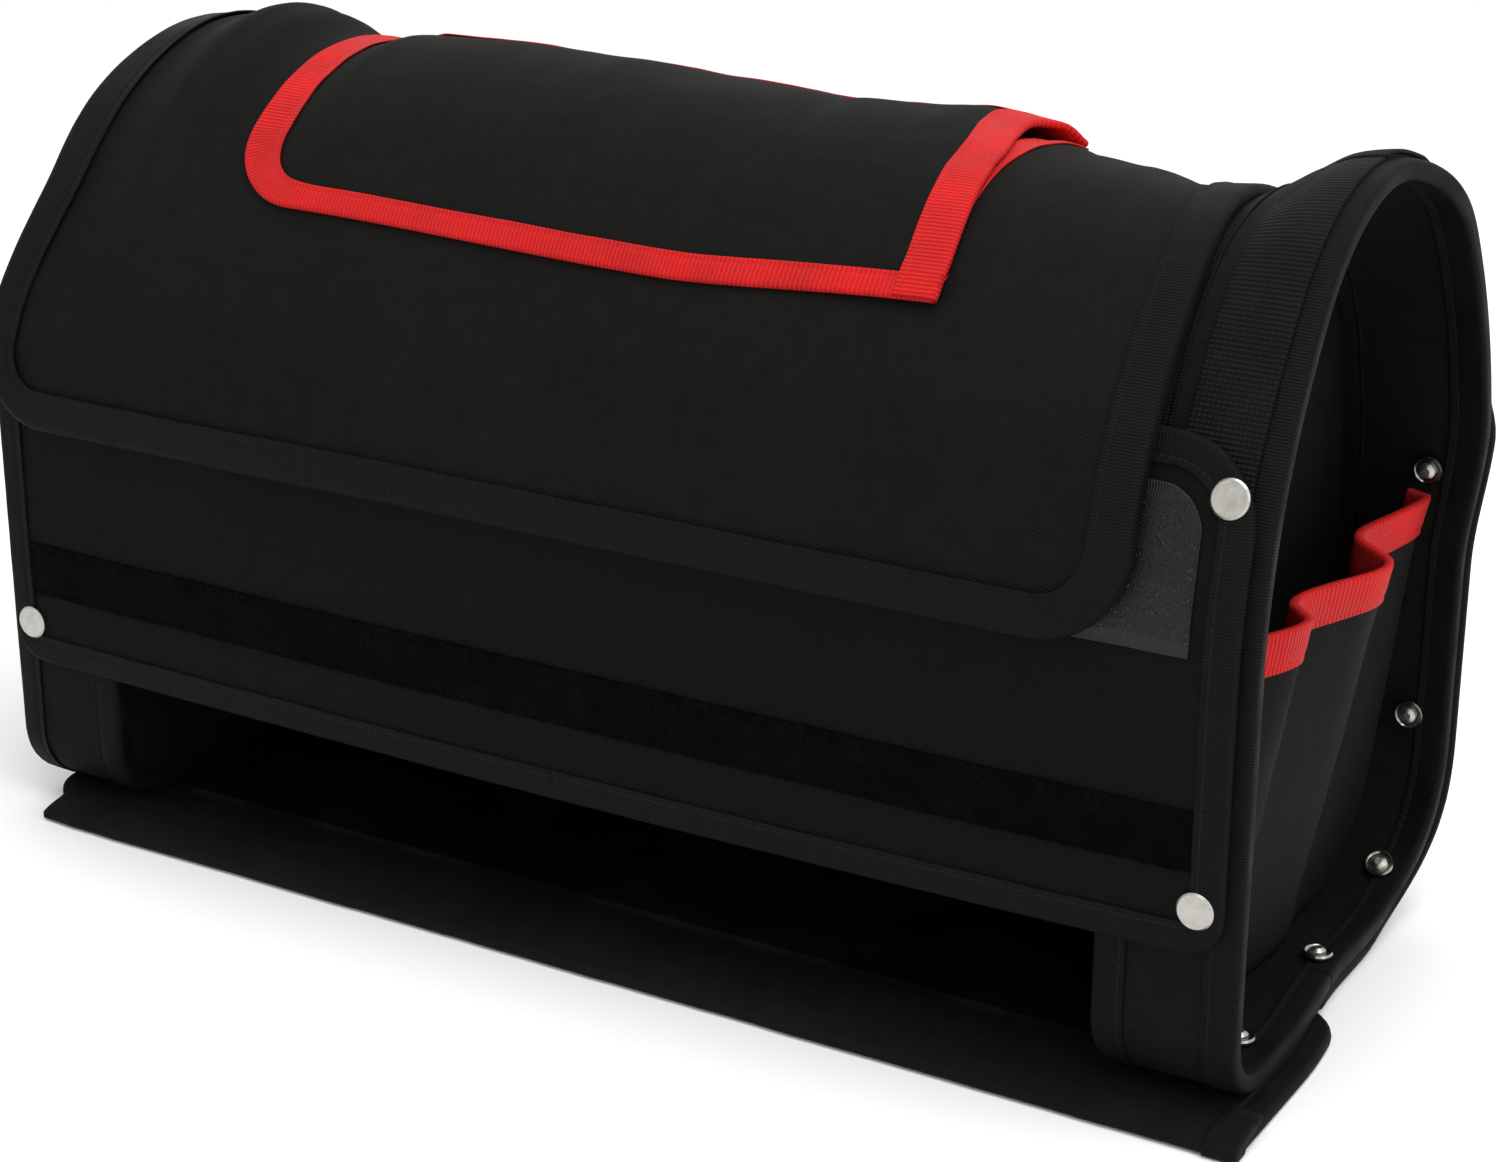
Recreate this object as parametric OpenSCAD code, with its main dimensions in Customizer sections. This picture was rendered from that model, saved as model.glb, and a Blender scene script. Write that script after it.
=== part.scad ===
// Open-ended tool bag: two stiff end hoops carry a front panel, a back panel that
// wraps under them, recessed end walls with pleated pockets, a domed lid hinged at
// the back and a drop-front flap folded under the bag.
// X runs along the bag, Y from front (-) to back (+), Z up. The origin is on the
// floor, halfway between the hoops.

/* [Overall] */
// Length over the two hoops
bag_length = 500; // [420:1:600]
// Depth over a hoop, front to back
bag_depth = 192; // [180:1:210]
// Height of a hoop, from its foot to its crown
hoop_height = 281; // [265:1:310]
// Height above a hoop's foot where the arch starts to bend inwards
straight_height = 143; // [125:1:150]
// Radius of the arch at the crown
crown_radius = 75; // [68:1:82]
// Radius of the hoop's lower front corner
front_corner = 24; // [18:1:30]
// Radius of the hoop's lower back corner
back_corner = 55; // [45:1:58]

/* [Hoops] */
// Width of a hoop along the bag
hoop_width = 48; // [46:1:60]
// Thickness of a hoop's padded band
hoop_wall = 5; // [4:0.5:6]
// Width of the webbing over a hoop
webbing_width = 25; // [20:1:26]
// Thickness of the webbing
webbing_wall = 1.8; // [1.4:0.1:2]
// Length of the webbing's lapped joint on the crown
lap_length = 30; // [20:1:40]
// Height above the floor where the webbing ends, under the panels
webbing_end = 190; // [185:1:200]

/* [Edge tape] */
// Thickness of the tape folded over each edge
tape_wall = 0.8; // [0.6:0.1:1]
// Width of the tape seen on each face
tape_cover = 10; // [8:0.5:11]
// Width of the red tape seen on each face
red_cover = 11; // [9:0.5:13]

/* [Panels] */
// Thickness of the front and back panels
panel_wall = 3; // [2.5:0.5:3.5]
// Air between a hoop and the panel over it, where the webbing passes
panel_stand = 2.1; // [2:0.1:2.6]
// How far the front panel stops short of each end
panel_inset = 5; // [4:0.5:8]
// Height of the front panel's lower edge above the floor
panel_low = 64; // [58:1:72]
// Height of the front panel's upper edge above the floor
panel_high = 224; // [216:1:232]
// Radius of the front panel's upper corners
panel_corner = 28; // [20:1:34]
// Radius of the front panel's lower corners
panel_foot_corner = 12; // [8:1:16]
// Height of the back panel's upper edge above the floor
back_high = 206; // [198:1:212]
// Gap under the bag between the folded flap's tape and the back panel's wrap
wrap_gap = 1; // [0.6:0.1:3]

/* [Fastening strips] */
// Thickness of the fastening strips
strip_wall = 1.2; // [1:0.1:1.4]
// Height of the rough strip under the lid's edge
hook_strip_height = 50; // [40:1:54]
// Height of the pile strip low on the front panel
loop_strip_height = 20; // [16:1:24]
// Height of the pile strip's lower edge above the floor
loop_strip_low = 91; // [90:1:96]
// Height of the strip inside the lid's front edge
lid_strip_height = 25; // [18:1:26]

/* [Floor] */
// Thickness of the floor cloth under the hoops
cloth_wall = 2.6; // [2:0.2:3]
// Thickness of the stiff board on the floor cloth
board_wall = 3; // [2:0.5:4]

/* [End pockets] */
// Thickness of the end walls
end_wall = 2.6; // [2:0.2:3]
// Thickness of the pleated pocket cloth
pocket_wall = 1.4; // [1:0.1:1.6]
// Height of the pocket's mouth above the floor
pocket_high = 158; // [140:1:158]
// Distance of the outer pleat folds from the hoop's rim at the mouth
pleat_out_inset = 2; // [2:0.5:5]
// Depth of the pleats at the mouth
pleat_depth = 21; // [14:0.5:22]
// Depth of the pleats at the floor
pleat_foot_depth = 4; // [3:0.5:6]
// Distance of the outer pleat folds from the rim at the floor
pleat_foot_inset = 27; // [25:0.5:29]

/* [Rivets] */
// Diameter of the flat rivet caps
cap_size = 12.5; // [11:0.5:13]
// Thickness of the caps
cap_wall = 1.2; // [1:0.1:1.3]
// Thickness of the flat caps under the floor
flat_cap_wall = 0.6; // [0.4:0.1:0.7]
// Diameter of the posts
post_size = 4; // [3:0.5:5]
// Diameter of the rings inside the hoops
ring_size = 10.5; // [9:0.5:11]
// Distance of the rivets from the ends of the bag
rivet_inset = 13; // [13:0.5:15]
// Height of the upper front rivets above the floor
front_rivet_high = 207; // [200:1:210]
// Height of the lower front rivets above the floor
front_rivet_low = 78.5; // [76:0.5:82]
// Height of the upper back rivets above the floor
back_rivet_high = 167; // [166:1:172]
// Height of the lower back rivets above the floor
back_rivet_low = 75; // [72:1:90]
// Turn of the corner rivets round the lower back corner, from straight down
corner_rivet_turn = 37; // [30:1:45]
// Distance of the front floor rivets from the hoops' front
floor_rivet_inset = 39; // [34:1:46]

/* [Lid] */
// Thickness of the lid
lid_wall = 3.5; // [3:0.5:4]
// How far the lid passes the left end
lid_left_pass = 2; // [1.5:0.5:4]
// How far the lid stops short of the right end
lid_right_short = 40; // [37:0.5:42]
// Air between a hoop's crown and the lid
lid_crown_stand = 5; // [4.8:0.1:6]
// Air between the hoops' front and the lid
lid_front_stand = 8.8; // [8.6:0.1:9.4]
// Height of the lid's front edge above the floor
lid_low = 160; // [155:1:162]
// Radius of the lid's front corners
lid_corner = 30; // [20:1:40]
// Radius of the sewn roll that the lid hinges on
lid_roll = 1.6; // [1.4:0.1:2]

/* [Lid pocket] */
// Thickness of the pocket sheet on the lid
lid_pocket_wall = 1.4; // [1:0.1:2]
// Distance of the lid pocket from the lid's left end
lid_pocket_left_inset = 107; // [92:1:132]
// Distance of the lid pocket's open edge from the lid's right end
lid_pocket_right_inset = 87; // [84:1:92]
// Height of the lid pocket's front edge above the floor
lid_pocket_low = 247; // [240:1:255]
// How far the lid pocket reaches behind the crown
lid_pocket_back = 24; // [20:1:30]
// Radius of the lid pocket's front left corner
lid_pocket_corner = 26; // [18:1:34]
// How far the tape under the open edge shows beyond it
under_tape_show = 12; // [8:1:16]

/* [Flap] */
// Thickness of the flap
flap_wall = 2.5; // [2:0.5:3]
// Length of the flap from its fold to its free edge
flap_length = 102; // [96:1:102]
// How far the flap stops short of the left end
flap_left_short = 17; // [4:1:25]
// How far the flap passes the right end
flap_right_pass = 7; // [0:1:8]
// Radius of the flap's free corners
flap_corner = 20; // [14:1:30]
// Thickness of the strip on the flap
flap_strip_wall = 0.6; // [0.4:0.1:0.7]

/* [Hidden] */
$fn = 96;

// clearance between pieces that only rest on each other
rest_gap = 0.3;
// overrun of every cut past the solid it cuts
overrun = 1;

// width and thickness of a rivet's tail flange, against its post
tail_width_share = 1.4;
tail_wall_share = 0.25;
// how far a corner rivet's cap stands off the curved panel, against the tape
cap_stand_share = 0.25;
// where the rear floor rivets lie between the wrap's end and the start of its bend
floor_rivet_share = 0.325;
// how far the flap's sheet starts inside its fold, against the fold's radius
fold_start_share = 0.8;

half_length = bag_length / 2;
half_depth = bag_depth / 2;
inner_rim = half_length - hoop_width;

// what lies under the hoops: the folded flap or the back panel's wrap, then the cloth
wrap_floor = tape_wall;
cloth_floor = wrap_floor + panel_wall + tape_wall;
cloth_top = cloth_floor + cloth_wall;
hoop_foot = cloth_top + tape_wall;
spring = hoop_foot + straight_height;
crown = hoop_foot + hoop_height;
inner_floor = hoop_foot + hoop_wall;

panel_outer = panel_stand + panel_wall;
wrap_top = wrap_floor + panel_wall;
wrap_bend = back_corner + hoop_foot - wrap_top;
bend_y = half_depth + panel_stand - wrap_bend;
panel_end = half_length - panel_inset;

// the fold that the flap turns on, in front of everything it closes against
flap_floor = tape_wall;
flap_roll = (cloth_top - flap_floor) / 2;
flap_axis_z = flap_floor + flap_roll;
flap_axis_y = -(half_depth + panel_outer + cap_wall + rest_gap + flap_axis_z);
cloth_front = flap_axis_y + flap_roll + tape_wall + rest_gap;
flap_left = flap_left_short - half_length;
flap_right = half_length + flap_right_pass;
flap_end = flap_axis_y + flap_length;

// the back panel's wrap ends just behind the folded flap
wrap_end = flap_end + tape_wall + wrap_gap + tape_wall;
floor_rivet_back = blend(wrap_end, half_depth - back_corner, floor_rivet_share);
floor_rivet_front = floor_rivet_inset - half_depth;

// the seam that the lid turns on, just outside the back panel's upper edge
lid_axis_z = back_high + lid_roll + rest_gap;
lid_back_low = lid_axis_z + lid_roll + rest_gap;

black_cloth = [0.09, 0.09, 0.1];
black_tape = [0.05, 0.05, 0.055];
black_pile = [0.03, 0.03, 0.03];
grey_hook = [0.16, 0.17, 0.18];
red_tape = [0.8, 0.12, 0.12];
nickel = [0.78, 0.77, 0.74];

// share of the hoop's inner depth at which each pleat fold lies, front to back
fold_depth_shares = [0, 0.225, 0.313, 0.588, 0.676, 0.96, 1];
// share of the pleat depth that each fold stands out, 1 for an outer fold
fold_out_shares = [0.1, 1, 0.22, 1, 0, 0.42, 0];

function blend(from, to, share) = from + (to - from) * share;

// radius of the side arc of an arch that is half_w wide and rises over the spring
function side_radius(half_w, rise, top_r) =
    (half_w * half_w + pow(rise - top_r, 2) - top_r * top_r) / (2 * (half_w - top_r));

// outline seen from the end: a flat foot, rounded lower corners, straight walls and an
// arch of two side arcs and a crown arc, with its own width to the front and the back
module arch_area(front, back, foot, top, front_r, back_r, top_r) {
    rise = top - spring;
    front_side = side_radius(front, rise, top_r);
    back_side = side_radius(back, rise, top_r);
    front_join = spring + front_side * (rise - top_r) / (front_side - top_r);
    back_join = spring + back_side * (rise - top_r) / (back_side - top_r);
    translate([0, top - top_r]) circle(top_r);
    intersection() {
        translate([front_side - front, spring]) circle(front_side);
        translate([-front, foot + front_r]) square([front, front_join - foot - front_r]);
    }
    intersection() {
        translate([back - back_side, spring]) circle(back_side);
        translate([0, foot + back_r]) square([back, back_join - foot - back_r]);
    }
    translate([-front, foot + front_r]) square([front, spring - foot - front_r]);
    translate([0, foot + back_r]) square([back, spring - foot - back_r]);
    translate([front_r - front, foot])
        square([front + back - front_r - back_r, spring - foot]);
    translate([front_r - front, foot + front_r]) circle(front_r);
    translate([back - back_r, foot + back_r]) circle(back_r);
}

// the hoop's own outline, grown or shrunk all round
module hoop_area(grow) {
    arch_area(half_depth + grow, half_depth + grow, hoop_foot - grow, crown + grow,
        front_corner + grow, back_corner + grow, crown_radius + grow);
}

module hoop_band(inner, outer) {
    difference() {
        hoop_area(outer);
        hoop_area(inner);
    }
}

// the lid's outline: flush with the back panel, clear of everything at the front
module lid_area(grow) {
    arch_area(half_depth + lid_front_stand + grow, half_depth + panel_stand + grow,
        hoop_foot - grow, crown + lid_crown_stand + grow, front_corner + grow,
        back_corner + grow, crown_radius + lid_crown_stand + grow);
}

module lid_band(inner, outer) {
    difference() {
        lid_area(outer);
        lid_area(inner);
    }
}

// everything in front of the middle between two heights
module front_zone(low, high) {
    translate([-bag_depth, low]) square([bag_depth, high - low]);
}

// everything behind the middle between two heights
module back_zone(low, high) {
    translate([0, low]) square([bag_depth, high - low]);
}

// the parts of the lid's outline that the lid covers
module lid_zone() {
    front_zone(lid_low - lid_wall, crown + bag_depth);
    back_zone(lid_back_low, crown + bag_depth);
}

// the region inside the back panel's path, bent round the lower back corner
module wrap_area(grow, past) {
    reach = wrap_bend + grow;
    end_y = wrap_end - past;
    top = spring + past;
    translate([end_y, wrap_top - grow]) square([bend_y - end_y, top - wrap_top + grow]);
    translate([end_y, wrap_top + wrap_bend])
        square([bend_y + reach - end_y, top - wrap_top - wrap_bend]);
    translate([bend_y, wrap_top + wrap_bend]) intersection() {
        circle(reach);
        translate([-overrun, -reach]) square([reach + overrun, reach + overrun]);
    }
}

module wrap_band(inner, outer) {
    difference() {
        wrap_area(outer, 0);
        wrap_area(inner, overrun);
    }
}

// the back panel's section, from its upper edge to the end of its wrap
module back_area(inner, outer) {
    wrap_band(inner, outer);
    intersection() {
        hoop_band(panel_stand + inner, panel_stand + outer);
        back_zone(spring - overrun, back_high);
    }
}

// a box with one radius for its lower and one for its upper corners
module rounded_area(left, right, low, high, low_r, high_r) {
    translate([left, low + low_r]) square([right - left, high - low - low_r - high_r]);
    translate([left + low_r, low]) square([right - left - 2 * low_r, high - low - high_r]);
    translate([left + high_r, low + low_r])
        square([right - left - 2 * high_r, high - low - low_r]);
    for (x = [left + low_r, right - low_r]) translate([x, low + low_r]) circle(low_r);
    for (x = [left + high_r, right - high_r]) translate([x, high - high_r]) circle(high_r);
}

// gives an outline drawn in Y and Z its length along the bag
module along_x(from, to) {
    translate([from, 0, 0]) rotate([90, 0, 90]) linear_extrude(to - from) children();
}

// an outline in X and Z run through the bag's front half only
module through_front() {
    rotate([90, 0, 0]) linear_extrude(bag_depth) children();
}

// an outline in X and Z run through the whole bag
module through_depth() {
    translate([0, bag_depth, 0]) rotate([90, 0, 0]) linear_extrude(2 * bag_depth) children();
}

module from_above(low, high) {
    translate([0, 0, low]) linear_extrude(high - low) children();
}

// draws the right end's piece, or its mirror image at the left end
module at_end(left) {
    if (left) mirror([1, 0, 0]) children();
    else children();
}

// moves a rivet's piece drawn along +Z at the hoop's outer face to a height on the front face
module on_front(x, height) {
    side_r = side_radius(half_depth, crown - spring, crown_radius);
    tilt = height > spring ? asin((height - spring) / side_r) : 0;
    level = height > spring ? spring : height;
    translate([x, side_r - half_depth, level]) rotate([90 - tilt, 0, 0])
        translate([0, 0, side_r]) children();
}

module on_back(x, height) {
    mirror([0, 1, 0]) on_front(x, height) children();
}

module on_back_corner(x) {
    translate([x, half_depth - back_corner, hoop_foot + back_corner])
        rotate([180 + corner_rivet_turn, 0, 0]) translate([0, 0, back_corner]) children();
}

module on_floor(x, y) {
    translate([x, y, hoop_foot]) rotate([180, 0, 0]) children();
}

// a rivet's post, its flat cap outside and its flanged tail inside
module rivet(grip, cap) {
    back_face = hoop_wall + tape_wall + rest_gap + ring_step;
    flange = post_size * tail_width_share / 2;
    tail = post_size * tail_wall_share;
    translate([0, 0, -back_face - tail])
        cylinder(h = grip + back_face + tail + cap / 2, d = post_size);
    rotate_extrude() polygon([
        [0, -back_face - 2 * tail], [flange / 2, -back_face - 2 * tail],
        [flange, -back_face - tail], [flange, -back_face], [0, -back_face]
    ]);
    rotate_extrude() polygon([
        [0, grip], [cap_size / 2, grip], [cap_size / 2, grip + cap / 2],
        [cap_size / 2 - cap / 2, grip + cap], [0, grip + cap]
    ]);
}

// dished ring inside the hoop, clear of the tape beside it
module rivet_ring() {
    face = -hoop_wall - tape_wall - rest_gap;
    bore = post_size / 2 + rest_gap / 2;
    rim = ring_size / 2;
    rotate_extrude() polygon([
        [bore, face], [rim, face], [rim, face - ring_step],
        [rim - ring_step / 2, face - 2 * ring_step], [rim - ring_step, face - 2 * ring_step],
        [rim - 2 * ring_step, face - ring_step], [bore, face - ring_step]
    ]);
}

module rivet_bore() {
    translate([0, 0, -half_depth / 2]) cylinder(h = half_depth, d = post_size + rest_gap);
}

module cap_relief(grip) {
    translate([0, 0, grip]) cylinder(h = half_depth / 2, d = cap_size + 2 * rest_gap);
}

rivet_x = half_length - rivet_inset;
// thickness of a ring and height of its raised rim
ring_step = tape_wall;
front_grip = panel_outer;
// the floor rivets' flat caps are pressed flush into what they hold
floor_grip_front = hoop_foot - cloth_floor - flat_cap_wall;
floor_grip_back = hoop_foot - wrap_floor - flat_cap_wall;

module at_front_rivets() {
    for (x = [-rivet_x, rivet_x], height = [front_rivet_low, front_rivet_high])
        on_front(x, height) children();
}

module at_back_rivets() {
    for (x = [-rivet_x, rivet_x], height = [back_rivet_low, back_rivet_high])
        on_back(x, height) children();
}

module at_corner_rivets() {
    for (x = [-rivet_x, rivet_x]) on_back_corner(x) children();
}

module at_floor_rivets(y) {
    for (x = [-rivet_x, rivet_x]) on_floor(x, y) children();
}

module all_bores() {
    at_front_rivets() rivet_bore();
    at_back_rivets() rivet_bore();
    at_corner_rivets() rivet_bore();
    at_floor_rivets(floor_rivet_front) rivet_bore();
    at_floor_rivets(floor_rivet_back) rivet_bore();
}

// a hoop's padded band, open to both ends of the bag
module hoop(left) {
    color(black_cloth) difference() {
        at_end(left) along_x(inner_rim, half_length) hoop_band(-hoop_wall, 0);
        all_bores();
    }
}

// tape folded over a hoop's rim: the rim lies at x = edge, the band runs towards inward
module hoop_binding(left, edge, inward) {
    far = edge + inward * tape_cover;
    over = edge - inward * tape_wall;
    color(black_tape) at_end(left) {
        along_x(min(edge, over), max(edge, over)) hoop_band(-hoop_wall - tape_wall, tape_wall);
        along_x(min(edge, far), max(edge, far)) hoop_band(0, tape_wall);
        along_x(min(edge, far), max(edge, far)) hoop_band(-hoop_wall - tape_wall, -hoop_wall);
    }
}

module webbing(left) {
    outer_edge = half_length - tape_cover;
    color(black_tape) difference() {
        at_end(left) {
            along_x(outer_edge - webbing_width, outer_edge) intersection() {
                hoop_band(0, webbing_wall);
                translate([-bag_depth, webbing_end]) square([2 * bag_depth, crown]);
            }
            along_x(outer_edge - webbing_width, outer_edge) intersection() {
                hoop_band(0, 2 * webbing_wall);
                translate([-lap_length / 2, spring]) square([lap_length, crown]);
            }
        }
        all_bores();
    }
}

wall_x = inner_rim + tape_wall;

module end_wall_sheet(left) {
    color(black_cloth) at_end(left)
        along_x(wall_x, wall_x + end_wall) hoop_area(-hoop_wall - tape_wall);
}

// plan line of the pleats at a height, running past the hoop's front and back walls
function pleat_line(height) = let(
    share = (height - inner_floor) / (pocket_high - inner_floor),
    out_x = half_length - blend(pleat_foot_inset, pleat_out_inset, share),
    deep = blend(pleat_foot_depth, pleat_depth, share),
    reach = half_depth - hoop_wall - tape_wall + overrun
) [for (i = [0:len(fold_depth_shares) - 1])
    [out_x - deep * (1 - fold_out_shares[i]), blend(-reach, reach, fold_depth_shares[i])]];

function unit(v) = v / norm(v);
function left_of(v) = [-v[1], v[0]];

// the plan line moved sideways by a distance, with mitred folds
function moved_line(line, by) = let(last = len(line) - 1) [for (i = [0:last]) let(
    before = left_of(unit(line[max(i, 1)] - line[max(i, 1) - 1])),
    after = left_of(unit(line[min(i, last - 1) + 1] - line[min(i, last - 1)])),
    middle = unit(before + after)
) line[i] - middle * by / (middle * before)];

// closed ring of points round the sheet at one height
function sheet_ring(height, wall) = let(
    line = pleat_line(height),
    outer = moved_line(line, wall / 2),
    inner = moved_line(line, -wall / 2),
    last = len(line) - 1
) concat([for (p = outer) [p[0], p[1], height]],
    [for (i = [0:last]) [inner[last - i][0], inner[last - i][1], height]]);

// pleated sheet through a rising list of heights
module pleated_sheet(heights, wall) {
    rings = [for (h = heights) sheet_ring(h, wall)];
    count = len(rings[0]);
    runs = count / 2 - 1;
    points = [for (ring = rings) each ring];
    top = (len(heights) - 1) * count;
    sides = [for (level = [0:len(heights) - 2], i = [0:count - 1]) let(
        next = (i + 1) % count,
        a = level * count + i,
        b = level * count + next
    ) each [[a, a + count, b], [b, a + count, b + count]]];
    floor_faces = [for (i = [0:runs - 1]) [i, i + 1, count - 2 - i, count - 1 - i]];
    top_faces = [for (f = floor_faces) [top + f[3], top + f[2], top + f[1], top + f[0]]];
    polyhedron(points, concat(sides, floor_faces, top_faces), 2);
}

tape_floor = pocket_high - red_cover;

// the clear space inside a hoop, which the pocket is cut to
module inside_hoop() {
    along_x(inner_rim, half_length + overrun) hoop_area(-hoop_wall - tape_wall);
}

module pocket_cloth() {
    pleated_sheet([inner_floor - overrun, tape_floor, pocket_high], pocket_wall);
}

module end_pocket(left) {
    color(black_cloth) at_end(left) intersection() {
        inside_hoop();
        pocket_cloth();
    }
}

module end_pocket_tape(left) {
    color(red_tape) at_end(left) intersection() {
        inside_hoop();
        difference() {
            pleated_sheet([tape_floor, pocket_high, pocket_high + tape_wall],
                pocket_wall + 2 * tape_wall);
            pocket_cloth();
        }
    }
}

// the front panel seen from the front
module panel_outline(grow, low_r, high_r) {
    rounded_area(-panel_end - grow, panel_end + grow, panel_low - grow, panel_high + grow,
        low_r + grow, high_r + grow);
}

module panel_sheet(inner, outer, grow) {
    intersection() {
        along_x(-half_length, half_length) intersection() {
            hoop_band(inner, outer);
            front_zone(hoop_foot + front_corner, crown);
        }
        through_front() panel_outline(grow, panel_foot_corner, panel_corner);
    }
}

module front_panel() {
    color(black_cloth) difference() {
        panel_sheet(panel_stand, panel_outer, 0);
        at_front_rivets() rivet_bore();
    }
}

// the part of the front panel that its tape leaves bare, seen from the front
module panel_inside(gap) {
    edge = tape_cover + gap;
    rounded_area(edge - panel_end, panel_end - edge, panel_low + edge, panel_high - edge,
        max(panel_foot_corner - edge, overrun), panel_corner - edge);
}

module front_panel_binding() {
    color(black_tape) difference() {
        panel_sheet(panel_stand - tape_wall, panel_outer + tape_wall, tape_wall);
        panel_sheet(panel_stand, panel_outer, 0);
        through_front() panel_inside(0);
        at_front_rivets() rivet_bore();
        at_front_rivets() cap_relief(front_grip);
        webbing_relief();
    }
}

// room for the webbing where it passes under the panels' tape
module webbing_relief() {
    outer_edge = half_length - tape_cover + rest_gap;
    for (left = [false, true]) at_end(left)
        along_x(outer_edge - webbing_width - 2 * rest_gap, outer_edge) intersection() {
            hoop_band(0, webbing_wall + rest_gap);
            translate([-bag_depth, webbing_end - rest_gap]) square([2 * bag_depth, crown]);
        }
}

module panel_strip(low, high, reach) {
    intersection() {
        along_x(-reach, reach) intersection() {
            hoop_band(panel_outer, panel_outer + strip_wall);
            front_zone(low, high);
        }
        through_front() panel_inside(rest_gap);
    }
}

// the rough strip, clear of the upper rivets' caps
module front_hook_strip() {
    color(grey_hook) panel_strip(lid_low, lid_low + hook_strip_height,
        rivet_x - cap_size / 2 - 2 * rest_gap);
}

module front_loop_strip() {
    color(black_pile)
        panel_strip(loop_strip_low, loop_strip_low + loop_strip_height, panel_end);
}

back_reach = half_length + tape_wall;

module back_panel() {
    color(black_cloth) difference() {
        along_x(-back_reach, back_reach) back_area(0, panel_wall);
        at_back_rivets() rivet_bore();
        at_corner_rivets() rivet_bore();
        at_floor_rivets(floor_rivet_back) rivet_bore();
        at_floor_rivets(floor_rivet_back) cap_relief(floor_grip_back);
    }
}

module wrap_tape_section(inner, outer) {
    difference() {
        back_area(inner, outer);
        translate([-bag_depth, -overrun]) square([bag_depth + bend_y, hoop_foot + overrun]);
    }
}

module back_panel_binding() {
    color(black_tape) for (left = [false, true]) difference() {
        at_end(left) {
            along_x(back_reach, back_reach + tape_wall) wrap_tape_section(-tape_wall,
                panel_wall + tape_wall);
            along_x(back_reach - tape_cover, back_reach) wrap_tape_section(panel_wall,
                panel_wall + tape_wall);
            along_x(back_reach - tape_cover, back_reach) wrap_tape_section(-tape_wall, 0);
        }
        at_back_rivets() cap_relief(front_grip);
        at_corner_rivets() cap_relief(front_grip);
        at_back_rivets() rivet_bore();
        at_corner_rivets() rivet_bore();
        webbing_relief();
    }
}

// tape round the flat end of the wrap, under the bag
module base_binding() {
    color(black_tape) difference() {
        from_above(0, cloth_floor) difference() {
            translate([-back_reach - tape_wall, wrap_end - tape_wall])
                square([2 * (back_reach + tape_wall), bend_y - wrap_end + tape_wall]);
            translate([tape_cover - back_reach, wrap_end + tape_cover])
                square([2 * (back_reach - tape_cover), bend_y - wrap_end]);
        }
        from_above(wrap_floor, wrap_top) translate([-back_reach, wrap_end])
            square([2 * back_reach, bend_y - wrap_end + overrun]);
        at_floor_rivets(floor_rivet_back) rivet_bore();
        at_floor_rivets(floor_rivet_back) cap_relief(floor_grip_back);
    }
}

module floor_cloth() {
    color(black_cloth) difference() {
        from_above(cloth_floor, cloth_top) translate([-half_length, cloth_front])
            square([bag_length, bend_y - cloth_front]);
        at_floor_rivets(floor_rivet_front) rivet_bore();
        at_floor_rivets(floor_rivet_back) rivet_bore();
        at_floor_rivets(floor_rivet_front) cap_relief(floor_grip_front);
    }
}

module base_board() {
    front_y = front_corner - half_depth;
    reach = inner_rim - tape_wall - overrun;
    color(black_pile) from_above(cloth_top, cloth_top + board_wall)
        rounded_area(-reach, reach, front_y, bend_y, panel_foot_corner, panel_foot_corner);
}

module front_rivets() {
    color(nickel) at_front_rivets() rivet(front_grip, cap_wall);
}

module back_rivets() {
    color(nickel) {
        at_back_rivets() rivet(front_grip, cap_wall);
        at_corner_rivets() rivet(corner_grip(), cap_wall);
    }
}

// the wrap bends a little wider than the hoop's corner, so the corner rivets are longer
function corner_grip() = let(
    shift = [bend_y - half_depth + back_corner, wrap_top + wrap_bend - hoop_foot - back_corner],
    way = [sin(corner_rivet_turn), -cos(corner_rivet_turn)]
) shift * way + wrap_bend + panel_wall - back_corner + tape_wall * cap_stand_share;

module floor_rivets() {
    color(nickel) {
        at_floor_rivets(floor_rivet_front) rivet(floor_grip_front, flat_cap_wall);
        at_floor_rivets(floor_rivet_back) rivet(floor_grip_back, flat_cap_wall);
    }
}

module rivet_rings() {
    color(nickel) {
        at_front_rivets() rivet_ring();
        at_back_rivets() rivet_ring();
        at_corner_rivets() rivet_ring();
        at_floor_rivets(floor_rivet_front) rivet_ring();
        at_floor_rivets(floor_rivet_back) rivet_ring();
    }
}

lid_left = -half_length - lid_left_pass;
lid_right = half_length - lid_right_short;

module lid_outline(grow, corner) {
    rounded_area(lid_left - grow, lid_right + grow, lid_low - grow, crown + bag_depth,
        corner, corner);
}

module lid_sheet(inner, outer, grow) {
    intersection() {
        along_x(lid_left - overrun, lid_right + overrun) intersection() {
            lid_band(inner, outer);
            lid_zone();
        }
        through_depth() lid_outline(grow, lid_corner + grow);
    }
}

module lid() {
    color(black_cloth) lid_sheet(0, lid_wall, 0);
}

module lid_binding() {
    color(black_tape) difference() {
        lid_sheet(-tape_wall, lid_wall + tape_wall, tape_wall);
        lid_sheet(0, lid_wall, 0);
        through_depth() lid_outline(-tape_cover, lid_corner - tape_cover);
    }
}

module lid_strip() {
    color(black_pile) along_x(lid_left + lid_corner, lid_right - lid_corner) intersection() {
        lid_band(-strip_wall, 0);
        front_zone(lid_low + tape_cover + rest_gap,
            lid_low + tape_cover + rest_gap + lid_strip_height);
    }
}

// depth of the seam, standing off the back panel's outer face at its height
function lid_axis_y() = let(
    side_r = side_radius(half_depth, crown - spring, crown_radius) + panel_outer,
    up = lid_axis_z - spring
) half_depth + panel_outer - side_r + sqrt(side_r * side_r - up * up) + lid_roll;

module lid_roll_seam() {
    color(black_tape) translate([0, lid_axis_y(), lid_axis_z]) rotate([0, 90, 0])
        translate([0, 0, lid_left]) cylinder(h = lid_right - lid_left, r = lid_roll);
}

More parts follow.
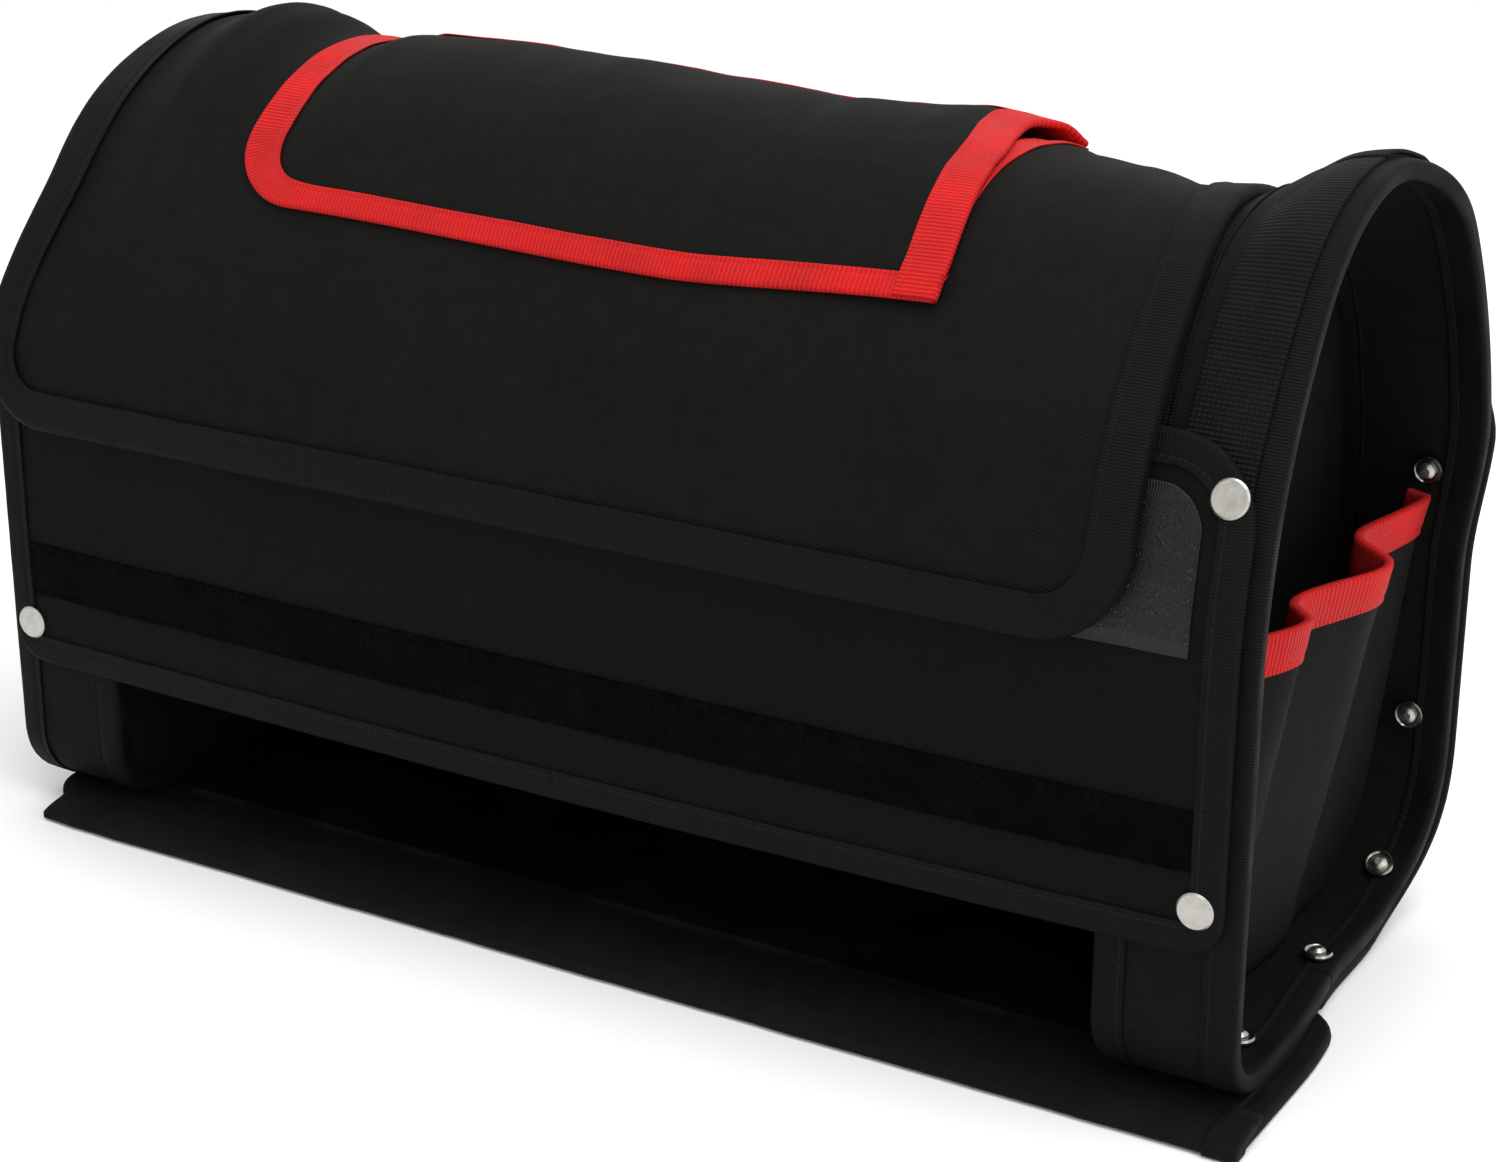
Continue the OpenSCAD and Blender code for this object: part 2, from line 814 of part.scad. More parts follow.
pocket_floor = lid_wall + rest_gap;
lid_pocket_left = lid_left + lid_pocket_left_inset;
lid_pocket_right = lid_right - lid_pocket_right_inset;

// the pocket seen from the end, up to its back edge just behind the crown
module lid_pocket_zone(grow) {
    translate([-bag_depth, spring])
        square([bag_depth + lid_pocket_back + grow, bag_depth + crown]);
}

// the pocket seen from the front, rounded at its front left corner only
module lid_pocket_outline(grow, corner) {
    rounded_area(lid_pocket_left - grow, lid_pocket_right + 2 * lid_pocket_corner,
        lid_pocket_low - grow, crown + bag_depth, corner, corner);
}

module lid_pocket_sheet(inner, outer, grow) {
    intersection() {
        along_x(lid_pocket_left - grow - overrun, lid_pocket_right + grow) intersection() {
            lid_band(inner, outer);
            lid_pocket_zone(grow);
        }
        through_depth() lid_pocket_outline(grow, lid_pocket_corner + grow);
    }
}

module lid_pocket() {
    color(black_cloth)
        lid_pocket_sheet(pocket_floor + tape_wall, pocket_floor + tape_wall + lid_pocket_wall, 0);
}

module lid_pocket_tape() {
    low = pocket_floor;
    high = pocket_floor + lid_pocket_wall + 2 * tape_wall;
    color(red_tape) difference() {
        lid_pocket_sheet(low, high, tape_wall);
        lid_pocket_sheet(low + tape_wall, high - tape_wall, 0);
        lid_pocket_sheet(0, high + overrun, -red_cover);
    }
}

// tape sewn on the lid beside the pocket's open edge
module lid_under_tape() {
    left = lid_pocket_right + tape_wall + rest_gap;
    color(red_tape) along_x(left, left + under_tape_show) intersection() {
        lid_band(lid_wall, lid_wall + tape_wall);
        lid_pocket_zone(0);
        translate([-bag_depth, lid_pocket_low]) square([2 * bag_depth, crown]);
    }
}

flap_start = flap_axis_y + flap_roll * fold_start_share;

// the flap's plan: square at the fold, rounded at the free edge
module flap_plan(grow) {
    corner = flap_corner + grow;
    left = flap_left - grow;
    right = flap_right + grow;
    translate([left, flap_start]) square([right - left, flap_end + grow - corner - flap_start]);
    translate([left + corner, flap_start])
        square([right - left - 2 * corner, flap_end + grow - flap_start]);
    for (x = [left + corner, right - corner])
        translate([x, flap_end + grow - corner]) circle(corner);
}

module flap() {
    color(black_cloth) difference() {
        from_above(flap_floor, flap_floor + flap_wall) flap_plan(0);
        flap_roll_space();
    }
}

// the space that the rolled fold takes
module flap_roll_space() {
    translate([flap_left - overrun, flap_axis_y, flap_axis_z]) rotate([0, 90, 0])
        cylinder(h = flap_right - flap_left + 2 * overrun, r = flap_roll);
}

module flap_binding() {
    clear_y = flap_axis_y + flap_roll + rest_gap;
    color(black_tape) intersection() {
        difference() {
            from_above(0, flap_floor + flap_wall + tape_wall) difference() {
                flap_plan(tape_wall);
                flap_plan_inside();
            }
            from_above(flap_floor, flap_floor + flap_wall) flap_plan(0);
            from_above(-overrun, flap_floor) flap_strip_area(rest_gap);
        }
        translate([flap_left - bag_depth, clear_y, -overrun])
            cube([flap_right - flap_left + 2 * bag_depth, bag_depth, hoop_foot]);
    }
}

module flap_plan_inside() {
    corner = flap_corner - tape_cover;
    left = flap_left + tape_cover;
    right = flap_right - tape_cover;
    top = flap_end - tape_cover;
    low = flap_start - overrun;
    translate([left, low]) square([right - left, top - corner - low]);
    translate([left + corner, low]) square([right - left - 2 * corner, top - low]);
    for (x = [left + corner, right - corner]) translate([x, top - corner]) circle(corner);
}

// where the strip lies on the face that closes against the front panel
module flap_strip_area(grow) {
    side = flap_corner + flap_strip_wall;
    translate([flap_left + side - grow, flap_end - overrun - loop_strip_height - grow])
        square([flap_right - flap_left - 2 * (side - grow), loop_strip_height + 2 * grow]);
}

module flap_strip() {
    color(grey_hook) from_above(flap_floor - flap_strip_wall, flap_floor) flap_strip_area(0);
}

module flap_roll_seam() {
    color(black_cloth) translate([flap_left, flap_axis_y, flap_axis_z]) rotate([0, 90, 0])
        cylinder(h = flap_right - flap_left, r = flap_roll);
}

hoop(true);  // hoop_left
hoop(false);  // hoop_right
hoop_binding(true, half_length, -1);  // hoop_left_outer_binding
hoop_binding(false, half_length, -1);  // hoop_right_outer_binding
hoop_binding(true, inner_rim, 1);  // hoop_left_inner_binding
hoop_binding(false, inner_rim, 1);  // hoop_right_inner_binding
webbing(true);  // webbing_left
webbing(false);  // webbing_right
end_wall_sheet(true);  // end_wall_left
end_wall_sheet(false);  // end_wall_right
end_pocket(true);  // end_pocket_left
end_pocket(false);  // end_pocket_right
end_pocket_tape(true);  // end_pocket_tape_left
end_pocket_tape(false);  // end_pocket_tape_right
front_panel();
front_panel_binding();
front_hook_strip();
front_loop_strip();
back_panel();
back_panel_binding();
base_binding();
floor_cloth();
base_board();
front_rivets();
back_rivets();
floor_rivets();
rivet_rings();
lid();
lid_binding();
lid_strip();
lid_roll_seam();
lid_pocket();
lid_pocket_tape();
lid_under_tape();
flap();
flap_binding();
flap_strip();
flap_roll_seam();
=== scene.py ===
import bmesh
import bpy
from math import asin, atan2, ceil, cos, exp, hypot, pi, radians, sin, sqrt
from mathutils import Matrix, Vector, noise


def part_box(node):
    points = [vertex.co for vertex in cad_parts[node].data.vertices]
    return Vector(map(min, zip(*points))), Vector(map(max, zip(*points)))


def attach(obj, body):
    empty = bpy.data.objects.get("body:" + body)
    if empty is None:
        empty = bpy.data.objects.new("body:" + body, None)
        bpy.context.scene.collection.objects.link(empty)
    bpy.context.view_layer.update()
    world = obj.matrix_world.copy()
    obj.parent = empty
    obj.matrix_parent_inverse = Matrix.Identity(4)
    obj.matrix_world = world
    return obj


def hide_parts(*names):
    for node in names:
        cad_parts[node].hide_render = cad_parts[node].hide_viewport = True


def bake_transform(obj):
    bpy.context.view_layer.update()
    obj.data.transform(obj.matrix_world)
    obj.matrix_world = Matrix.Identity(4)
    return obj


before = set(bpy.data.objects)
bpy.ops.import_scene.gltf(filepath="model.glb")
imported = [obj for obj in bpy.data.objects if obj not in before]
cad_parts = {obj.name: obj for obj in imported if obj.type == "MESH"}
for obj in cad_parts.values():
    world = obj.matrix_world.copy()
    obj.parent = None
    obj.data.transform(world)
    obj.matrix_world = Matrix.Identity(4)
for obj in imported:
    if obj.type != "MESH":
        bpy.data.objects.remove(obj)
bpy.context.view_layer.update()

mm = 0.001

# the bag's own sizes in mm, as the frame has them
bag = {"halfLength": 250.0, "halfDepth": 96.0, "foot": 8.0, "spring": 151.0, "crown": 289.0,
       "frontCorner": 24.0, "backCorner": 55.0, "topRadius": 75.0, "innerRim": 202.0, "hoopWall": 5.0,
       "tapeWall": 0.8, "panelStand": 2.1, "panelWall": 3.0}


# lines that the cloth follows: straight runs and arcs, in mm

def layPath(start, heading, turn, parts):
    return {"start": start, "heading": heading, "turn": turn, "parts": parts,
            "length": sum(part[0] for part in parts)}


def pathAt(path, along):
    # point on the line and the direction that points outwards there
    a, b = path["start"]
    angle, turn, left = path["heading"], path["turn"], along
    last = len(path["parts"]) - 1
    for index, (length, radius) in enumerate(path["parts"]):
        step = left if index == last or left < length else length
        if radius:
            after = angle + turn * step / radius
            a += turn * radius * (sin(after) - sin(angle))
            b -= turn * radius * (cos(after) - cos(angle))
            angle = after
        else:
            a += step * cos(angle)
            b += step * sin(angle)
        left -= step
        if left <= 0 or index == last:
            break
    return a, b, turn * sin(angle), -turn * cos(angle)


def sideRadius(half, rise, topRadius):
    return (half ** 2 + (rise - topRadius) ** 2 - topRadius ** 2) / (2 * (half - topRadius))


def archPath(front, back, foot, top, frontCorner, backCorner, topRadius):
    # closed outline seen from the right end, from the middle of the foot towards the front
    rise = top - bag["spring"]
    frontSide, backSide = sideRadius(front, rise, topRadius), sideRadius(back, rise, topRadius)
    frontTurn = atan2(rise - topRadius, frontSide - front)
    backTurn = atan2(rise - topRadius, backSide - back)
    wall = bag["spring"] - foot
    return layPath((0, foot), pi, -1, [
        (front - frontCorner, None), (frontCorner * pi / 2, frontCorner), (wall - frontCorner, None),
        (frontSide * frontTurn, frontSide), (topRadius * (pi - frontTurn - backTurn), topRadius),
        (backSide * backTurn, backSide), (wall - backCorner, None),
        (backCorner * pi / 2, backCorner), (back - backCorner, None)])


def hoopArch(inset):
    # the hoop's outline, moved inwards
    half = bag["halfDepth"] - inset
    return archPath(half, half, bag["foot"] + inset, bag["crown"] - inset, bag["frontCorner"] - inset,
                    bag["backCorner"] - inset, bag["topRadius"] - inset)


def crownOf(path):
    return sum(part[0] for part in path["parts"][:4]) + path["parts"][4][0] / 2


hoopPath = hoopArch(0)
hoopCrown = crownOf(hoopPath)
lidPath = archPath(104.8, 98.1, bag["foot"], 294, bag["frontCorner"], bag["backCorner"], 80)
lidCrown = crownOf(lidPath)
wrapPath = layPath((-2, 3.8), 0, 1, [(40.9, None), (59.2 * pi / 2, 59.2), (88, None), (60, 182.1)])
clothPath = layPath((-102.3, 4.6), 0, -1, [(141.2, None)])
flapPath = layPath((-103.4, 3.3), 0, 1, [(98.8, None)])


def alongAt(path, low, high, height, out=0.0):
    # where the line, moved outwards, passes a height between two places on it
    rising = pathAt(path, high)[1] + out * pathAt(path, high)[3] > height
    for halving in range(40):
        middle = (low + high) / 2
        _, z, _, nz = pathAt(path, middle)
        if (z + out * nz > height) == rising:
            high = middle
        else:
            low = middle
    return (low + high) / 2


def frontAt(path, height, out=0.0):
    return alongAt(path, 110, 400, height, out)


def backAt(path, height, out=0.0):
    return alongAt(path, 420, 640, height, out)


def boxOutline(area, corners):
    # rounded box in the flat, anticlockwise from the middle of its low edge
    left, right, low, high = area
    lowRight, highRight, highLeft, lowLeft = corners
    middle = (left + right) / 2
    return layPath((middle, low), 0, 1, [
        (right - lowRight - middle, None), (lowRight * pi / 2, lowRight),
        (high - low - lowRight - highRight, None), (highRight * pi / 2, highRight),
        (right - left - highRight - highLeft, None), (highLeft * pi / 2, highLeft),
        (high - low - highLeft - lowLeft, None), (lowLeft * pi / 2, lowLeft),
        (middle - left - lowLeft, None)])


def openOutline(area, corner):
    # down the left edge, along the low one and up the right one
    left, right, low, high = area
    side, turn = high - low - corner, corner * pi / 2
    return layPath((left, high), -pi / 2, 1, [
        (side, None), (turn, corner), (right - left - 2 * corner, None), (turn, corner), (side, None)])


def edgeLine(x, low, high, towards):
    # one straight edge of a sheet; towards is +1 where the sheet ends to its right
    if towards > 0:
        return layPath((x, low), pi / 2, 1, [(high - low, None)])
    return layPath((x, high), -pi / 2, 1, [(high - low, None)])


# materials: cloth patterns follow each piece's own flat map, in mm, and dust follows its place

def addNode(tree, kind, plugs=None, **settings):
    node = tree.nodes.new("ShaderNode" + kind)
    for key, value in settings.items():
        setattr(node, key, value)
    for key, value in (plugs or {}).items():
        if isinstance(value, bpy.types.NodeSocket):
            tree.links.new(value, node.inputs[key])
        else:
            node.inputs[key].default_value = value
    return node


def calc(tree, operation, *values):
    return addNode(tree, "Math", dict(enumerate(values)), operation=operation).outputs[0]


def weighted(tree, *parts):
    # the sum of some values, each times its own share
    total = calc(tree, "MULTIPLY", *parts[-1])
    for value, share in reversed(parts[:-1]):
        total = calc(tree, "MULTIPLY_ADD", value, share, total)
    return total


def shallow(tree, value, share):
    # 1 where the value is 1, and 1 less the share where it is 0
    return calc(tree, "MULTIPLY_ADD", value, share, 1 - share)


def fitted(tree, value, low, high):
    return addNode(tree, "MapRange", {"Value": value, "To Min": low, "To Max": high}).outputs[0]


def faded(tree, value, start, end):
    return addNode(tree, "MapRange", {"Value": value, "From Min": start, "From Max": end}).outputs[0]


def bands(tree, place, pitch, turn=0.0, distortion=0.0):
    # soft ridges of one pitch, 0 in the gaps to 1 on the ridges
    turned = addNode(tree, "Mapping", {"Vector": place, "Rotation": (0, 0, radians(turn))})
    return addNode(tree, "TexWave", {
        "Vector": turned.outputs[0], "Scale": 2 * pi / 20 / pitch, "Distortion": distortion,
        "Detail": 1.0, "Detail Scale": 3.0}, wave_type="BANDS", bands_direction="X").outputs["Fac"]


def blotches(tree, spot, size, detail=3.0, contrast=(0.3, 0.7)):
    cloud = addNode(tree, "TexNoise", {"Vector": spot, "Scale": 1.0 / size, "Detail": detail})
    return faded(tree, cloud.outputs["Fac"], *contrast)


def stitches(tree, place, look):
    # dashes of thread along the map's first axis, at one distance on its second
    parts = addNode(tree, "SeparateXYZ", {0: place})
    beat = calc(tree, "FRACT", calc(tree, "MULTIPLY", parts.outputs[0], 1.0 / look["stitchPitch"]))
    on = calc(tree, "LESS_THAN", beat, look["dash"])
    off = calc(tree, "ABSOLUTE", calc(tree, "SUBTRACT", parts.outputs[1], look["stitchLine"]))
    near = faded(tree, off, look["threadWidth"], look["threadWidth"] * 0.4)
    return calc(tree, "MULTIPLY", near, on)


def mixColour(tree, share, first, second):
    node = addNode(tree, "Mix", data_type="RGBA")
    for key, value in ((0, share), (6, first), (7, second)):
        if isinstance(value, bpy.types.NodeSocket):
            tree.links.new(value, node.inputs[key])
        else:
            node.inputs[key].default_value = (*value, 1)
    return node.outputs[2]


def startMaterial(name, look):
    material = bpy.data.materials.new(name)
    material.use_nodes = True
    tree = material.node_tree
    plugs = tree.nodes["Principled BSDF"].inputs
    plugs["Specular IOR Level"].default_value = look["specular"]
    plugs["Roughness"].default_value = look["roughness"]
    plugs["Sheen Weight"].default_value = look.get("sheen", 0.0)
    plugs["Sheen Roughness"].default_value = 0.45
    place = addNode(tree, "UVMap", uv_map="flat").outputs[0]
    spot = addNode(tree, "TexCoord").outputs["Object"]
    return material, tree, place, spot


def finishMaterial(material, tree, look, colour, height, roughness=None):
    plugs = tree.nodes["Principled BSDF"].inputs
    tree.links.new(colour, plugs["Base Color"])
    if roughness is not None:
        tree.links.new(roughness, plugs["Roughness"])
    bump = addNode(tree, "Bump", {"Height": height, "Strength": look["bump"], "Distance": look["depth"]})
    tree.links.new(bump.outputs[0], plugs["Normal"])
    return material


twillLook = {"dark": (0.0012, 0.0012, 0.0010), "light": (0.0098, 0.0096, 0.0088), "specular": 0.055,
             "roughness": 0.7, "sheen": 0.006, "bump": 0.8, "depth": 0.00016, "ridges": (1.15, 56, 0.35),
             "threads": (0.42, -34, 0.5), "fuzz": (0.0006, 2.0), "dust": (0.045, 4.0, (0.38, 0.66)),
             "slub": (0.006, 3.0), "shares": (0.42, 0.22, 0.2, 0.16), "rough": (0.62, 0.82)}


def twillMaterial(name="blackTwill", look=twillLook):
    material, tree, place, spot = startMaterial(name, look)
    ridges = bands(tree, place, *look["ridges"])
    threads = bands(tree, place, *look["threads"])
    fuzz, dust, slub = [blotches(tree, spot, *look[word]) for word in ("fuzz", "dust", "slub")]
    weave = calc(tree, "MULTIPLY", ridges, shallow(tree, threads, 0.3))
    height = calc(tree, "MULTIPLY_ADD", fuzz, 0.25, weave)
    tone = weighted(tree, *zip((weave, fuzz, dust, slub), look["shares"]))
    colour = mixColour(tree, tone, look["dark"], look["light"])
    rough = fitted(tree, weighted(tree, (dust, 0.6), (fuzz, 0.4)), *look["rough"])
    return finishMaterial(material, tree, look, colour, height, rough)


tapeLook = {"dark": (0.0005, 0.0007, 0.0006), "light": (0.0078, 0.0088, 0.0082), "specular": 0.06,
            "roughness": 0.6, "sheen": 0.005, "bump": 0.8, "depth": 0.00026, "ribs": (1.0, 0, 0.25),
            "cross": (0.55, 90, 0.3), "fuzz": (0.0005, 2.0), "wear": (0.018, 4.0, (0.35, 0.7)),
            "shares": (0.55, 0.2, 0.25), "rough": (0.5, 0.72), "stitchLine": 2.2, "stitchPitch": 3.1,
            "dash": 0.76, "threadWidth": 0.42, "thread": (0.0095, 0.0100, 0.0095)}
redLook = {**tapeLook, "dark": (0.26, 0.003, 0.003), "light": (0.72, 0.013, 0.013), "specular": 0.12,
           "sheen": 0.02, "depth": 0.0004, "ribs": (1.5, 0, 0.25), "stitchLine": 2.1, "stitchPitch": 2.6,
           "thread": (0.50, 0.012, 0.012)}


def tapeMaterial(name, look):
    material, tree, place, spot = startMaterial(name, look)
    ribs = bands(tree, place, *look["ribs"])
    cross = bands(tree, place, *look["cross"])
    fuzz, wear = [blotches(tree, spot, *look[word]) for word in ("fuzz", "wear")]
    thread = stitches(tree, place, look)
    weave = calc(tree, "MULTIPLY", ribs, shallow(tree, cross, 0.25))
    tone = weighted(tree, *zip((weave, fuzz, wear), look["shares"]))
    colour = mixColour(tree, thread, mixColour(tree, tone, look["dark"], look["light"]), look["thread"])
    height = calc(tree, "MAXIMUM", calc(tree, "MULTIPLY_ADD", fuzz, 0.15, weave),
                  calc(tree, "MULTIPLY", thread, 1.5))
    return finishMaterial(material, tree, look, colour, height, fitted(tree, wear, *look["rough"]))


webbingLook = {"dark": (0.0004, 0.0005, 0.0005), "light": (0.0088, 0.0094, 0.0089), "specular": 0.06,
               "roughness": 0.6, "sheen": 0.005, "bump": 1.0, "depth": 0.00045, "warp": (1.75, 0, 0.15),
               "weft": (1.6, 90, 0.3), "slant": (0.6, 20, 0.3), "fuzz": (0.0006, 2.0),
               "wear": (0.012, 3.0, (0.35, 0.68)), "shares": (0.62, 0.16, 0.2)}


def webbingMaterial(look=webbingLook):
    material, tree, place, spot = startMaterial("coarseWebbing", look)
    warp, weft, slant = [bands(tree, place, *look[word]) for word in ("warp", "weft", "slant")]
    fuzz, wear = [blotches(tree, spot, *look[word]) for word in ("fuzz", "wear")]
    # rows of small blocks, deeper between the rows than between the columns
    blocks = calc(tree, "MULTIPLY", shallow(tree, warp, 0.55), shallow(tree, weft, 0.85))
    weave = calc(tree, "MULTIPLY_ADD", slant, 0.12, blocks)
    tone = weighted(tree, *zip((weave, fuzz, wear), look["shares"]))
    return finishMaterial(material, tree, look, mixColour(tree, tone, look["dark"], look["light"]), weave)


# the glint colour is a painted highlight, put on random hook tips
hookLook = {"dark": (0.0010, 0.0012, 0.0016), "light": (0.0066, 0.0075, 0.0093), "paintedGlint": (0.085, 0.09, 0.10),
            "specular": 0.3, "roughness": 0.5, "bump": 1.0, "depth": 0.0006, "columns": (1.7, 0, 0.8),
            "hookScale": 1.25, "hookTip": (0.45, 0.1), "cloud": (0.009, 3.0, (0.35, 0.65)),
            "plainEdge": 4.5, "plainRibs": (0.9, 0, 0.3), "paintedGlintOver": 0.93}


def hookMaterial(look=hookLook):
    material, tree, place, spot = startMaterial("greyHooks", look)
    columns = bands(tree, place, *look["columns"])
    hooks = addNode(tree, "TexVoronoi", {"Vector": place, "Scale": look["hookScale"], "Randomness": 0.8})
    tips = faded(tree, hooks.outputs["Distance"], *look["hookTip"])
    cloud = blotches(tree, spot, *look["cloud"])
    tone = calc(tree, "MULTIPLY", tips, calc(tree, "MULTIPLY_ADD", columns, 0.6, 0.25))
    # a plain ribbed edge without hooks
    edge = addNode(tree, "SeparateXYZ", {0: place}).outputs[1]
    plain = calc(tree, "LESS_THAN", edge, look["plainEdge"])
    weave = calc(tree, "MULTIPLY", bands(tree, place, *look["plainRibs"]), 0.55)
    low = calc(tree, "MULTIPLY", weave, 0.3)
    tone, tips = [addNode(tree, "Mix", {0: plain, 2: hooked, 3: ribbed}).outputs[0]
                  for hooked, ribbed in ((tone, weave), (tips, low))]
    # some random hook tips get a bright colour: painted glints, a painted highlight standing in for light
    # caught by the hooks
    speck = addNode(tree, "TexWhiteNoise", {"Vector": hooks.outputs["Position"]}).outputs[0]
    paintedGlint = calc(tree, "MULTIPLY", calc(tree, "GREATER_THAN", speck, look["paintedGlintOver"]), tips)
    base = mixColour(tree, weighted(tree, (cloud, 0.25), (tone, 0.75)), look["dark"], look["light"])
    return finishMaterial(material, tree, look, mixColour(tree, paintedGlint, base, look["paintedGlint"]), tips)


pileLook = {"dark": (0.0002, 0.0002, 0.0002), "light": (0.0027, 0.0027, 0.0028), "specular": 0.04,
            "roughness": 0.95, "sheen": 0.004, "bump": 1.0, "depth": 0.0007, "loops": (0.0011, 3.0),
            "brushed": (0.012, 4.0, (0.38, 0.62))}


def pileMaterial(look=pileLook):
    material, tree, _, spot = startMaterial("deepPile", look)
    loops, brushed = [blotches(tree, spot, *look[word]) for word in ("loops", "brushed")]
    tone = calc(tree, "MULTIPLY", loops, shallow(tree, brushed, 0.7))
    height = calc(tree, "MULTIPLY_ADD", brushed, 0.6, loops)
    return finishMaterial(material, tree, look, mixColour(tree, tone, look["dark"], look["light"]), height)


satinNickel = {"dark": (0.36, 0.35, 0.32), "light": (0.52, 0.51, 0.47), "specular": 0.5, "roughness": 0.3,
               "metallic": 1.0, "bump": 0.4, "depth": 0.00001, "grain": (0.0004, 3.0),
               "marks": (0.0028, 3.0), "rough": (0.30, 0.42)}
brightNickel = {**satinNickel, "dark": (0.20, 0.195, 0.18), "light": (0.46, 0.45, 0.42), "depth": 0.000005,
                "rough": (0.14, 0.26)}
boardLook = {"dark": (0.0015, 0.0015, 0.0014), "light": (0.0075, 0.0075, 0.0070), "specular": 0.08,
             "roughness": 0.6, "metallic": 0.0, "bump": 0.6, "depth": 0.00012, "grain": (0.0012, 4.0),
             "marks": (0.03, 5.0, (0.42, 0.7)), "rough": (0.4, 0.65)}


def hardMaterial(name, look):
    # metal or plastic with a fine grain, duller where it is scuffed
    material, tree, _, spot = startMaterial(name, look)
    tree.nodes["Principled BSDF"].inputs["Metallic"].default_value = look["metallic"]
    grain, marks = [blotches(tree, spot, *look[word]) for word in ("grain", "marks")]
    colour = mixColour(tree, weighted(tree, (marks, 0.6), (grain, 0.4)), look["dark"], look["light"])
    return finishMaterial(material, tree, look, colour, grain, fitted(tree, marks, *look["rough"]))


finishes = {"twill": twillMaterial(), "black_tape": tapeMaterial("ribbedBlackTape", tapeLook),
            "webbing": webbingMaterial(), "red_tape": tapeMaterial("ribbedRedTape", redLook),
            "hook_strip": hookMaterial(), "pile_strip": pileMaterial(),
            "nickel": hardMaterial("satinNickel", satinNickel),
            "board": hardMaterial("ribbedBoard", boardLook)}
ringFinish = hardMaterial("brightNickel", brightNickel)
# the front panel's cloth is painted darker than the lid's: painted shade for the face that the light from
# above reaches less
shadedFrontTwill = twillMaterial("shadedFrontTwill", {**twillLook, "dark": (0.0008, 0.0008, 0.0007),
                                          "light": (0.0066, 0.0065, 0.0060)})
print("materials ready")


# making cloth: a flat grid, softened, then laid on its line

def wobble(x, s, size, seed):
    # smooth noise of one size in mm, different for each seed
    return noise.noise(Vector((x / size, s / size, seed * 7.3)))


def clamp(value, low=0, high=1):
    return min(max(value, low), high)


def smooth(share):
    share = clamp(share)
    return share * share * (3 - 2 * share)


def ramp(x, start, over):
    # eases from 0 at a place to 1 further on
    return smooth((x - start) / over)


def bell(off, reach):
    return cos(pi / 2 * min(abs(off) / reach, 1)) ** 2


def dent(off, width):
    return exp(-(off / width) ** 2)


def across(x, width):
    # 1 in the middle of a panel, 0 at its ends
    return cos(pi * clamp(x / width, -0.5, 0.5))


def eased(points, x):
    # a value that eases from one listed place to the next
    if x <= points[0][0]:
        return points[0][1]
    for (a, first), (b, second) in zip(points, points[1:]):
        if x <= b:
            return first + (second - first) * ramp(x, a, b - a)
    return points[-1][1]


def roundCorner(x, s, area, corners):
    left, right, low, high = area
    for radius, (sideX, sideS) in zip(corners, ((1, -1), (1, 1), (-1, 1), (-1, -1))):
        if radius <= 0:
            continue
        middleX = (right - radius) if sideX > 0 else (left + radius)
        middleS = (high - radius) if sideS > 0 else (low + radius)
        u, v = (x - middleX) * sideX / radius, (s - middleS) * sideS / radius
        if u > 0 and v > 0:
            return (middleX + sideX * radius * u * sqrt(1 - v * v / 2),
                    middleS + sideS * radius * v * sqrt(1 - u * u / 2))
    return x, s


# how the soft bag has settled: the left end leans in at the top and its shoulder sinks, the right
# end is twisted, and each hoop's inner rim has sunk under the crown; pairs are a place and a reach
settleLook = {
    "lean": 15.5, "leanUp": (172, 88), "topLean": 9.0, "topUp": (252, 42), "leanAlong": (140, 110),
    "twistHigh": 6.0, "highUp": (130, 60), "highBack": (5, 50), "twistLow": 5.5, "lowUp": (8, 60),
    "lowFrom": (-50, 70), "lowTo": (55, 55), "twistAlong": (218, 32), "shoulder": 2.5,
    "shoulderAlong": (150, 80), "shoulderOver": (60, 90), "sinkReach": 150,
    "leftSink": [(-252, 5.5), (-230, 2.5), (-203, -3.5), (-190, -3)], "rimPower": 2.4,
    "rimSink": {1: 18.0, -1: 5.0}, "rimReach": {1: 105.0, -1: 90.0}, "rimShift": {1: 18.0, -1: 0.0},
    "rightRise": 2.5, "riseReach": 95, "riseAlong": (212, 18)}


def settled(x, y, z):
    look = settleLook
    lean = look["lean"] * ramp(z, *look["leanUp"]) + look["topLean"] * ramp(z, *look["topUp"])
    high = ramp(z, *look["highUp"]) * ramp(y, *look["highBack"])
    low = (1 - ramp(z, *look["lowUp"])) * ramp(y, *look["lowFrom"]) * (1 - ramp(y, *look["lowTo"]))
    twist = (look["twistHigh"] * high - look["twistLow"] * low) * ramp(x, *look["twistAlong"])
    return Vector((x + lean * ramp(-x, *look["leanAlong"]) + twist, y, z)) * mm


def shoulderSink(x, off):
    over, reach = settleLook["shoulderOver"]
    return settleLook["shoulder"] * ramp(-x, *settleLook["shoulderAlong"]) * bell(off + over, reach)


def rimSink(x, off):
    # off is how far past the crown, towards the back
    look, side = settleLook, 1 if x > 0 else -1
    share = clamp((abs(x) - bag["innerRim"]) / (bag["halfLength"] - bag["innerRim"]))
    sink = look["rimSink"][side] * (1 - share) ** look["rimPower"]
    sink *= bell(off - look["rimShift"][side], look["rimReach"][side])
    if side < 0:
        return sink + eased(look["leftSink"], x) * bell(off, look["sinkReach"]) + shoulderSink(x, off)
    return sink - look["rightRise"] * bell(off, look["riseReach"]) * ramp(x, *look["riseAlong"])


def unitGrid(columns, rows):
    # a grid from 0 to 1 each way
    bm = bmesh.new()
    bmesh.ops.create_grid(bm, x_segments=columns, y_segments=rows, size=1)
    reach = max(vert.co.x for vert in bm.verts)
    for vert in bm.verts:
        vert.co = ((vert.co.x / reach + 1) / 2, (vert.co.y / reach + 1) / 2, 0)
    return bm


def keepMap(bm, mapped):
    # the flat map, in mm, taken from each corner's place while the cloth is still flat
    layer = bm.loops.layers.uv.new("flat")
    for face in bm.faces:
        for loop in face.loops:
            loop[layer].uv = mapped(loop.vert.co)


